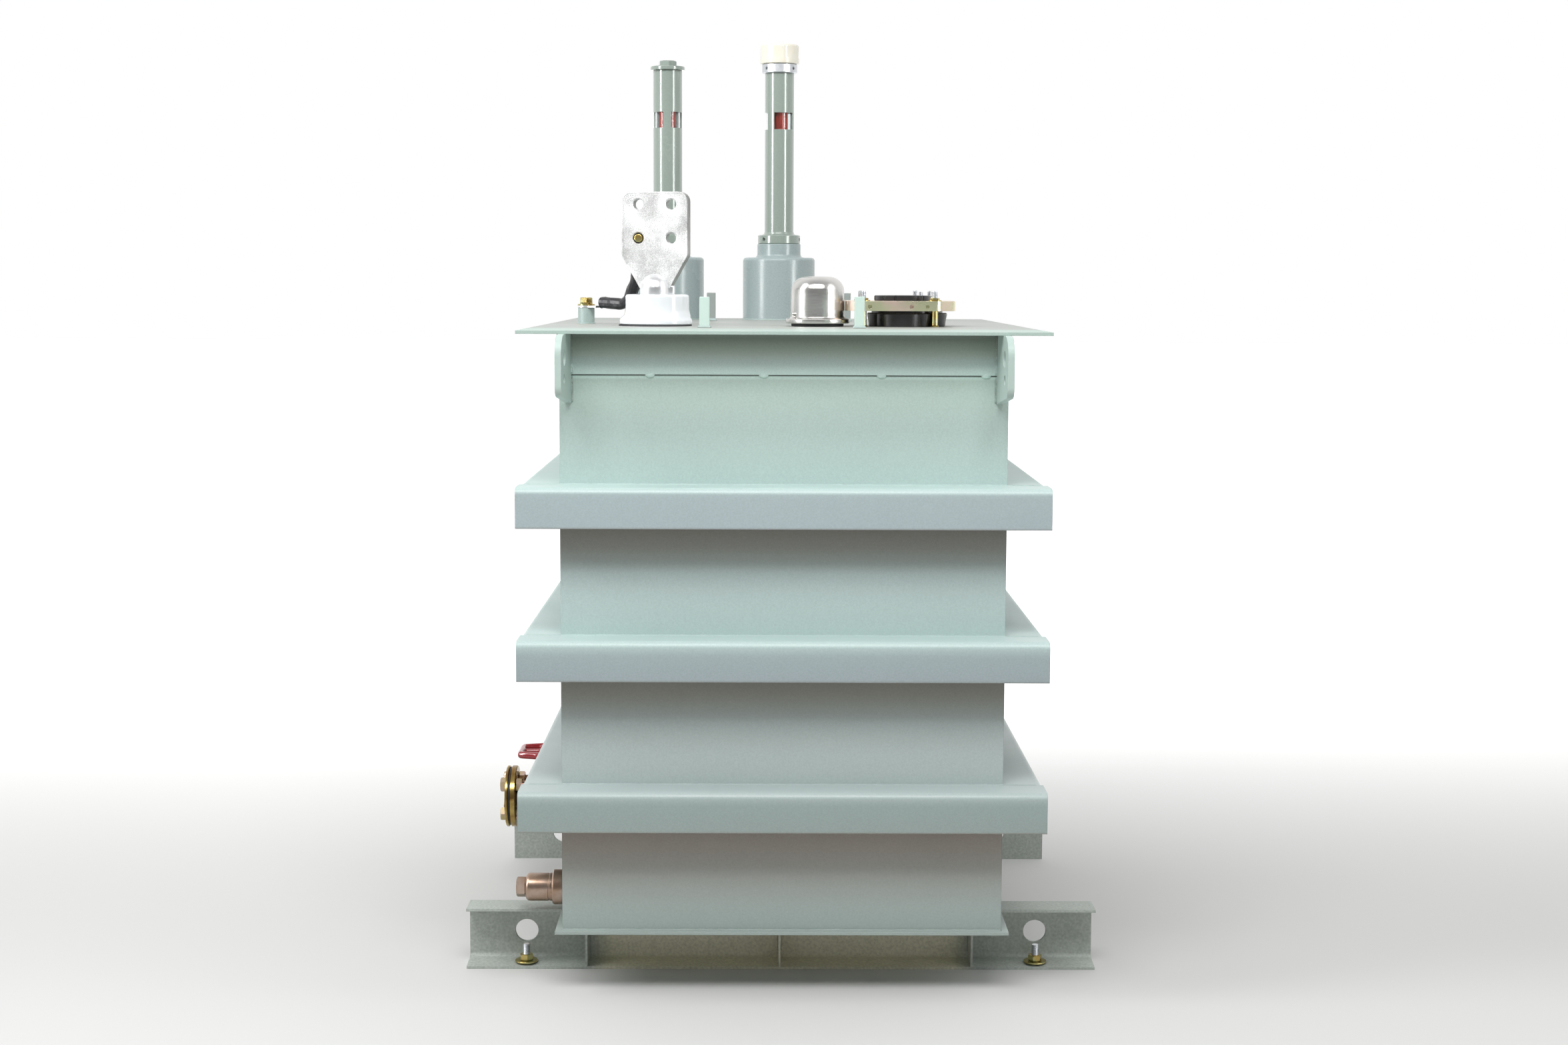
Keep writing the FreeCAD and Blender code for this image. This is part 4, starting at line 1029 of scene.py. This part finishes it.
add_bevel(plate, 0.0007, 2, 40)
place(plate, at=(PLATE_X, PLATE_Y, plate_low.z))
finish(plate, plate_zinc, ["well_clamp_plate"])

# %% Studs, with their sleeves, washers and nuts
# Each stud passes through a plated sleeve that keeps the plate off the cover. The spare studs are thinner.
STUD_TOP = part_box("well_studs")[1].z - COVER_TOP
PLATE_FACE = plate_high.z - COVER_TOP
SLEEVE_TOP = plate_low.z - COVER_TOP
stud = threaded("stud", 0.0036, 0.00125, PLATE_FACE - 0.004, STUD_TOP)
collar = [(0.0052, 0), (0.0056, 0.0010), (0.0045, 0.0022), (0.0043, 0.0040), (0.0043, SLEEVE_TOP - 0.0005)]
sleeve_set = turned("sleeve", collar + [(0.0040, SLEEVE_TOP)], 32)
flat = place(washer("flat", 0.0090, 0.0038, 0.0013), at=(0, 0, PLATE_FACE))
nut = place(hexagon("nut", 0.0115, 0.0028), at=(0, 0, PLATE_FACE + 0.0013), turn=(0, 0, 20))
sleeve_set = join("sleeve", sleeve_set, flat, nut)
spots = [((PLATE_X + STUD_SHIFT + dx * STUD_PITCH, PLATE_Y + dy * STUD_PITCH, COVER_TOP), (0, 0, 17 * i))
         for i, (dx, dy) in enumerate(((-1, -1), (1, -1), (1, 1), (-1, 1)))]
studs = copies_of(stud, spots)
for x, tall in ((0.025, 0.0138), (0.033, 0.0118)):
    spare = threaded("spare", 0.0030, 0.0012, PLATE_FACE - 0.002, PLATE_FACE + tall)
    studs.append(place(spare, at=(PLATE_X + x, PLATE_Y + 0.044, COVER_TOP)))
finish(join("well_stud_set", *studs), galvanised, ["well_studs"])
finish(join("well_sleeve_set", *copies_of(sleeve_set, spots)), yellow_zinc)

# %% [markdown]
# ## Cover posts
#
# Four short square bars stand on the cover, welded all round at the foot. Their edges are barely broken.

# %% Posts
# The front pair is a little shorter. Each post is made at the origin at its own height, then moved to its place.
POST_SIDE = 0.013
POSTS = ((-0.1019, -0.250, 0.0395), (0.0983, -0.250, 0.0405), (-0.1052, 0.250, 0.0420), (0.0985, 0.250, 0.0420))

posts = []
for x, y, tall in POSTS:
    post = fresh("cube", "post", size=1)
    post.scale = (POST_SIDE, POST_SIDE, tall)
    place(post)
    place(post, at=(0, 0, tall / 2))
    open_edit(post, "FACE")
    pick(post, "faces", lambda f: f.normal.z > 0.9)
    bpy.ops.mesh.inset(thickness=0.0012)
    bpy.ops.transform.translate(value=(0, 0, -0.0001))
    close_edit()
    posts.append(place(add_bevel(post, 0.0008, 3), at=(x, y, COVER_TOP)))
# The front pair wears the painted-light post paint and the rear pair the painted-shade post paint.
finish(join("cover_post_set", *posts[:2]), lit_post_paint, ["cover_posts"])
finish(join("cover_post_rear_pair", *posts[2:]), shaded_post_paint)

# %% [markdown]
# ## Drain plug
#
# A turned steel plug screws into a welded coupling on the left wall. It ends in a small hexagon.

# %% Drain coupling and plug
coupling_low, coupling_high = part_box("drain_coupling")
plug_axis = (coupling_low + coupling_high) / 2
plug_axis.x = coupling_high.x
coupling = turned("drain_coupling_ring", [(0.0222, 0), (0.0225, 0.0010), (0.0225, 0.0192), (0.0212, 0.0208),
                                          (0.0185, 0.0210)], 80)
place(coupling, turn=(0, -90, 0))
place(coupling, at=plug_axis)
finish(coupling, browned_steel, ["drain_coupling"])

profile = [(0.0172, 0.0205), (0.0180, 0.0212), (0.0180, 0.0245), (0.0176, 0.0250), (0.0176, 0.0262),
           (0.0180, 0.0267), (0.0180, 0.0490)] + arc(0.0128, 0.0505, 0.0052, 8, 84, 6) + [(0.0118, 0.0570)]
plug = turned("plug", profile, 80)
head = place(hexagon("head", 0.0230, 0.0112, both_ends=False), at=(0, 0, 0.0567), turn=(0, 0, 30))
plug = join("drain_plug_turned", plug, head)
place(plug, turn=(0, -90, 0))
place(plug, at=plug_axis)
finish(plug, browned_steel, ["drain_plug"])

# %% [markdown]
# ## Drain valve
#
# A bronze globe valve leaves the left wall near the back. Its outlet carries a pair of plated flanges
# with a black gasket between them, four bolts, and on top a red cast handwheel, which is the one
# part that turns.

# %% Flanges and gasket
flange_low, flange_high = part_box("outlet_flange")
VALVE_Y, VALVE_Z = (flange_low.y + flange_high.y) / 2, (flange_low.z + flange_high.z) / 2
FLANGE_R = (flange_high.z - flange_low.z) / 2
BOLT_CIRCLE, BOLT_ANGLES = 0.061, (45, 135, 225, 315)


def round_at(radius, degrees):
    """The two coordinates of a point on a circle."""
    return radius * math.cos(math.radians(degrees)), radius * math.sin(math.radians(degrees))


def outwards(piece, x):
    """Turns a piece made along +Z to point along -X, and sets it on the valve's axis."""
    place(piece, turn=(0, -90, 0))
    return place(piece, at=(x, VALVE_Y, VALVE_Z))


for node, radius, edge, material, slot_name in (("outlet_flange", FLANGE_R, 0.0010, brown_zinc, "yellow_zinc"),
                                                ("outlet_gasket", FLANGE_R - 0.0022, 0.0005, rubber, "gasket_rubber"),
                                                ("blank_flange", FLANGE_R, 0.0010, brown_zinc, "yellow_zinc")):
    low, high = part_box(node)
    disc = turned(node + "_disc", plain_disc(radius, high.x - low.x, edge), 96)
    for angle in BOLT_ANGLES:
        hole = turned("hole", [(0.0057, -0.02), (0.0057, 0.03)], 28)
        cut(disc, place(hole, at=(*round_at(BOLT_CIRCLE / 2, angle), 0)))
    finish(outwards(disc, high.x), material, [node])

# %% Flange bolts
bolt_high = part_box("flange_bolts")[1]
BLANK_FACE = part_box("blank_flange")[0].x
SHANK = bolt_high.x - BLANK_FACE
shank = threaded("shank", 0.0055, 0.0017, 0, SHANK - 0.0004)
head = place(hexagon("head", 0.0178, 0.0075, both_ends=False), turn=(180, 0, 0))
nut = place(hexagon("nut", 0.0178, 0.0088), at=(0, 0, flange_high.x - BLANK_FACE + 0.0001), turn=(0, 0, 20))
bolt = join("bolt", shank, head, nut)
place(bolt, turn=(0, 90, 0))
spots = []
for i, angle in enumerate(BOLT_ANGLES):
    y, z = round_at(BOLT_CIRCLE / 2, angle)
    spots.append(((BLANK_FACE, VALVE_Y + y, VALVE_Z + z), (23 * i + 4, 0, 0)))
finish(join("flange_bolt_set", *copies_of(bolt, spots)), pink_zinc, ["flange_bolts"])

# %% Valve body, bonnet and nipple
# The body is the union of a hexagonal end, a round outlet, a ball and a neck, melted together by a fine
# voxel remesh and smoothed, as a casting's fillets are.
WALL_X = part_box("valve_nipple")[1].x
wheel_low, wheel_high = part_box("handwheel")
STEM_X = (wheel_low.x + wheel_high.x) / 2

nipple = threaded("valve_nipple_thread", 0.0134, 0.0023, 0, 0.0210, 40)
finish(outwards(nipple, WALL_X), bronze, ["valve_nipple"])

inlet = place(hexagon("valve_casting", 0.0360, 0.0200), at=(0, 0, 0.0210), turn=(0, 0, 30))
outlet = turned("outlet", [(0.0155, 0.040), (0.0160, 0.042), (0.0160, 0.0800), (0.0200, 0.0830),
                           (0.0200, 0.1030), (0.0150, 0.1085)], 64)
casting = join("valve_casting", inlet, outlet)
outwards(casting, WALL_X)
ball = fresh("uv_sphere", "ball", segments=48, ring_count=24, radius=0.0268,
             location=(STEM_X, VALVE_Y, VALVE_Z - 0.003))
open_edit(ball, "VERT")
bpy.ops.mesh.select_all(action="SELECT")
bpy.ops.transform.resize(value=(1.0, 0.92, 1.0), center_override=(STEM_X, VALVE_Y, VALVE_Z - 0.003))
close_edit()
neck = place(turned("neck", [(0.0178, 0), (0.0178, 0.024), (0.0192, 0.0255), (0.0192, 0.0295)], 64),
             at=(STEM_X, VALVE_Y, VALVE_Z))
casting = join("valve_casting", casting, place(ball), neck)
modify(casting, "REMESH", mode="VOXEL", voxel_size=0.0011)
modify(casting, "SMOOTH", factor=0.5, iterations=4)
finish(casting, bronze, ["valve_body"], smooth=60)

cap_nut = place(hexagon("cap_nut", 0.0340, 0.0140), at=(0, 0, 0.0300), turn=(0, 0, 10))
throat = turned("throat", [(0.0120, 0.0430), (0.0120, 0.0482)], 48)
gland = place(hexagon("gland", 0.0200, 0.0070), at=(0, 0, 0.0480), turn=(0, 0, 25))
bonnet = join("valve_bonnet_set", cap_nut, throat, gland)
place(bonnet, at=(STEM_X, VALVE_Y, VALVE_Z))
finish(bonnet, bronze, ["valve_bonnet"])

# %% Handwheel
# The rim is a ring whose points are drawn out into five corners with hollows between them, and the arms and hub are
# fused to it by the same kind of remesh.
WHEEL_R, WHEEL_MID = (wheel_high.y - wheel_low.y) / 2, (wheel_low.z + wheel_high.z) / 2
LOBES, WAVE = 5, 0.0040

rim = fresh("torus", "handwheel_casting", major_segments=120, minor_segments=20, major_radius=WHEEL_R - 0.0050 - WAVE,
            minor_radius=0.0052)
open_edit(rim, "VERT")
for step in range(120):
    angle = math.radians(3 * step)
    bpy.ops.mesh.select_all(action="DESELECT")
    pick(rim, "verts", lambda v: abs((math.atan2(v.co.y, v.co.x) - angle + math.pi) % (2 * math.pi) - math.pi) < 0.01)
    push = WAVE * (1 - 2 * abs(math.sin(LOBES / 2 * angle)))
    bpy.ops.transform.translate(value=(push * math.cos(angle), push * math.sin(angle), 0))
close_edit()
arms = []
for i in range(LOBES):
    arm = turned("arm", [(0.0042, 0.004), (0.0034, 0.014), (0.0034, WHEEL_R - 0.008)], 24)
    place(arm, turn=(0, 90, 0))
    arms.append(place(arm, turn=(0, 0, 360 / LOBES * (i + 0.5))))
hub = turned("hub", [(0.0082, -0.0060), (0.0090, -0.0052), (0.0090, 0.0042), (0.0080, 0.0050)], 48)
wheel = join("handwheel_casting", rim, *arms, hub)
modify(wheel, "REMESH", mode="VOXEL", voxel_size=0.0008)
modify(wheel, "SMOOTH", factor=0.5, iterations=3)
place(wheel, at=(STEM_X, VALVE_Y, WHEEL_MID))
finish(wheel, red_paint, ["handwheel"], body="wheel", smooth=60)

stem_low, stem_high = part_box("valve_stem")
stem = threaded("valve_stem_thread", 0.0040, 0.0015, 0, stem_high.z - stem_low.z)
place(stem, at=(STEM_X, VALVE_Y, stem_low.z))
finish(stem, plain_steel, ["valve_stem"], body="wheel")
nut_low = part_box("handwheel_nut")[0].z
end = threaded("end", 0.0030, 0.0010, 0, 0.0048)
nut = join("wheel_nut", place(hexagon("nut", 0.0118, 0.0048), turn=(0, 0, 5)), end)
place(nut, at=(STEM_X, VALVE_Y, nut_low))
finish(nut, galvanised, ["handwheel_nut"], body="wheel")

# %% [markdown]
# ## Earthing studs on the base channels
#
# Each channel has two: a galvanised threaded stud on a weld pad, a broad washer and a plated nut.

# %% Base studs, washers and nuts
stud_low, stud_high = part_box("earth_studs")
nut_low, nut_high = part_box("earth_nuts")
WASHER_R = 0.015
stud_y = -(nut_low.y + WASHER_R)
stud_x = nut_high.x - WASHER_R
stud_tall, pad_tall = stud_high.z - stud_low.z, nut_low.z - stud_low.z
pad = turned("pad", [(0.0100, 0.0014), (0.0098, pad_tall - 0.0005), (0.0090, pad_tall)], 40)
rod = threaded("rod", 0.0050, 0.0015, pad_tall * 0.5, stud_tall)
stud = join("stud", pad, rod)
flat = washer("flat", WASHER_R, 0.0054, 0.0018)
nut = join("nut", flat, place(hexagon("nut", 0.0158, 0.0078), at=(0, 0, 0.0020), turn=(0, 0, 12)))
feet = ((-stud_x, -stud_y), (stud_x, -stud_y), (-stud_x, stud_y), (stud_x, stud_y))
studs = copies_of(stud, [((x, y, stud_low.z), (0, 0, 0)) for x, y in feet])
nuts = copies_of(nut, [((x, y, nut_low.z), (0, 0, 25 * i)) for i, (x, y) in enumerate(feet)])
finish(join("base_stud_set", *studs), galvanised, ["earth_studs"])
finish(join("base_nut_set", *nuts), yellow_zinc, ["earth_nuts"])

# %% [markdown]
# ## Weld beads
#
# The tank is welded from flat plates, and paint hides the seams but not their lumpy beads. A bead is a long
# thin rod, ringed every few millimetres so that it can swell and shrink, pushed about by a cloud
# pattern. One rod is made, then copied, stretched to each seam's length and sunk into its corner.

# %% One bead, and copies of it along seams
BEAD_RINGS, BEAD_STEP = 150, 0.0037
random.seed(7)

rings = []
for i in range(BEAD_RINGS):
    rings.append((0.00100 + 0.00012 * math.sin(1.9 * i) + random.uniform(-0.00010, 0.00010), BEAD_STEP * i))
bead = turned("bead", rings, 8)
lumps = bpy.data.textures.new("lumps", "CLOUDS")
lumps.noise_scale = 0.011
modify(bead, "DISPLACE", texture=lumps, strength=0.0009, mid_level=0.45)
BEAD_LENGTH = BEAD_STEP * (BEAD_RINGS - 1)


def bead_along(start, end, size=1.0):
    """A copy of the bead from one point to another; size 1 is a bead of about 2 mm."""
    start, end = Vector(start), Vector(end)
    run = end - start
    twin = bead.copy()
    twin.data = bead.data.copy()
    bpy.context.scene.collection.objects.link(twin)
    twin.scale = (size, size, run.length / BEAD_LENGTH)
    place(twin)
    twin.rotation_euler = Vector((0, 0, 1)).rotation_difference(run).to_euler()
    twin.location = start
    only(twin)
    bpy.ops.object.transform_apply(location=True, rotation=True, scale=True)
    return twin


print("bead", round(BEAD_LENGTH, 3), "m long")

# %% Seams of the rings and of the bottom plate
tank_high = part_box("tank_rear")[1]
WALL_HALF_X, WALL_HALF_Y = tank_high.x, tank_high.y
RING_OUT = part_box("lower_stiffener_front_rear")[1].x - WALL_HALF_X
ring_tops = [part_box(f"{level}_stiffener_front_rear")[1].z for level in ("lower", "middle", "upper")]
floor_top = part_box("bottom_plate")[1].z
CORNERS = ((-1, -1), (-1, 1), (1, -1), (1, 1))


def seams_round(z, size):
    """Beads in the corner between the four walls and whatever stands out from them at a height."""
    x, y = WALL_HALF_X, WALL_HALF_Y
    corners = [(-x, -y, z), (x, -y, z), (x, y, z), (-x, y, z)]
    return [bead_along(a, b, size) for a, b in zip(corners, corners[1:] + corners[:1])]


beads = seams_round(floor_top, 1.3)
for top in ring_tops:
    beads += seams_round(top, 1.0)
    for side_x, side_y in CORNERS:
        at = (side_x * WALL_HALF_X, side_y * WALL_HALF_Y, top)
        beads.append(bead_along(at, (side_x * (WALL_HALF_X + RING_OUT - 0.009), side_y * WALL_HALF_Y, top), 0.6))
finish(join("seam_beads", *beads), tank_paint, smooth=70)

# %% Seams of the lugs, ribs and coupling
beads = []
lug_low, lug_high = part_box("lifting_lugs_front")
LUG_X = WALL_HALF_X - 0.015
for side_x, side_y in CORNERS:
    x, y = side_x * LUG_X, side_y * WALL_HALF_Y
    beads.append(bead_along((x, y, lug_low.z + 0.001), (x, y, lug_high.z - 0.052), 1.8))
    beads.append(bead_along((x, y * 1.006, lug_high.z - 0.050), (x, y * 1.006, lug_high.z - 0.002), 1.8))
rib_low, rib_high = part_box("channel_ribs")
web_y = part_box("base_channel_front")[1].y - 0.005
for x in (rib_low.x, rib_low.x + 0.003, rib_high.x - 0.003, rib_high.x, -0.0035, -0.0005):
    for side_y in (-1, 1):
        beads.append(bead_along((x, side_y * abs(web_y), 0.014), (x, side_y * abs(web_y), 0.066), 1.1))
finish(join("fitting_beads", *beads), tank_paint, smooth=70)

# %% Round fillets at the feet of the pedestals, boss, coupling and nipple
def fillet_ring(name, radius, size):
    """A lumpy ring round a foot, at the origin."""
    ring = fresh("torus", name, major_segments=int(radius * 2600) + 24, minor_segments=10, major_radius=radius,
                 minor_radius=size)
    return place(modify(ring, "DISPLACE", texture=lumps, strength=size * 0.7, mid_level=0.45))


fillets = [place(fillet_ring("fillet", 0.0115, 0.0014), at=(boss.x, boss.y, COVER_TOP))]
for x in GAUGE_XS:
    fillets.append(place(fillet_ring("fillet", PEDESTAL_R, 0.0016), at=(x, GAUGE_Y, COVER_TOP)))
    fillets.append(place(fillet_ring("fillet", 0.0337, 0.0016), at=(x, GAUGE_Y, COVER_TOP + 0.0965)))
for axis_at, radius in ((plug_axis, 0.0225), (Vector((WALL_X, VALVE_Y, VALVE_Z)), 0.0134)):
    fillets.append(place(place(fillet_ring("fillet", radius, 0.0016), turn=(0, 90, 0)), at=axis_at))
foot = turned("foot", [(0.0134, 0), (0.0122, 0.0010), (0.0106, 0.0022), (0.0095, 0.0040)], 4)
foot = add_bevel(place(foot, turn=(0, 0, 45)), 0.0012, 3, 20)
fillets += copies_of(foot, [((x, y, COVER_TOP), (0, 0, 0)) for x, y, _ in POSTS])
bpy.data.objects.remove(bead)
finish(join("foot_fillets", *fillets), tank_paint, smooth=60)

# %% [markdown]
# ## The band's lower edge
#
# The flat bar under the cover is only tacked to the wall. Between the tacks a hairline gap lies in shade, and a thin
# dark strip along it is painted shade that makes it read as a dark line; each tack is a small flattened lump across
# it. The lump is a sphere pressed flat, and its surface is pushed about by the same clouds as the beads.

# %% Painted gap shade and tacks
band_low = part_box("top_band_front_rear")[0]
JOINT_TALL, JOINT_OUT = 0.0013, 0.0007
joints = []
for side in (-1, 1):
    for size_x, size_y, x, y in ((WALL_HALF_X * 2, JOINT_OUT, 0, side * (WALL_HALF_Y + JOINT_OUT / 2)),
                                 (JOINT_OUT, WALL_HALF_Y * 2, side * (WALL_HALF_X + JOINT_OUT / 2), 0)):
        strip = fresh("cube", "joint", size=1)
        strip.scale = (size_x, size_y, JOINT_TALL)
        place(strip)
        add_bevel(strip, 0.0001, 1)
        joints.append(place(strip, at=(x, y, band_low.z - JOINT_TALL / 2)))
finish(join("band_joint_line", *joints), gap_shade_paint, smooth=0)

TACK_OUT, tack_z = 0.0008, band_low.z - 0.0004
tack = fresh("uv_sphere", "tack", segments=24, ring_count=14, radius=0.006)
tack.scale = (1.0, 0.42, 0.55)
place(tack)
modify(tack, "DISPLACE", texture=lumps, strength=0.0012)
spots = []
for side in (-1, 1):
    for i, x in enumerate((-0.164, -0.025, 0.119, 0.247)):
        spots.append(((x, side * (WALL_HALF_Y + TACK_OUT), tack_z), (0, 180 * (i % 2), 0)))
    for y in (-0.29, -0.10, 0.09, 0.28):
        spots.append(((side * (WALL_HALF_X + TACK_OUT), y, tack_z), (0, 0, 90)))
finish(join("band_tacks", *copies_of(tack, spots)), tank_paint, smooth=70)
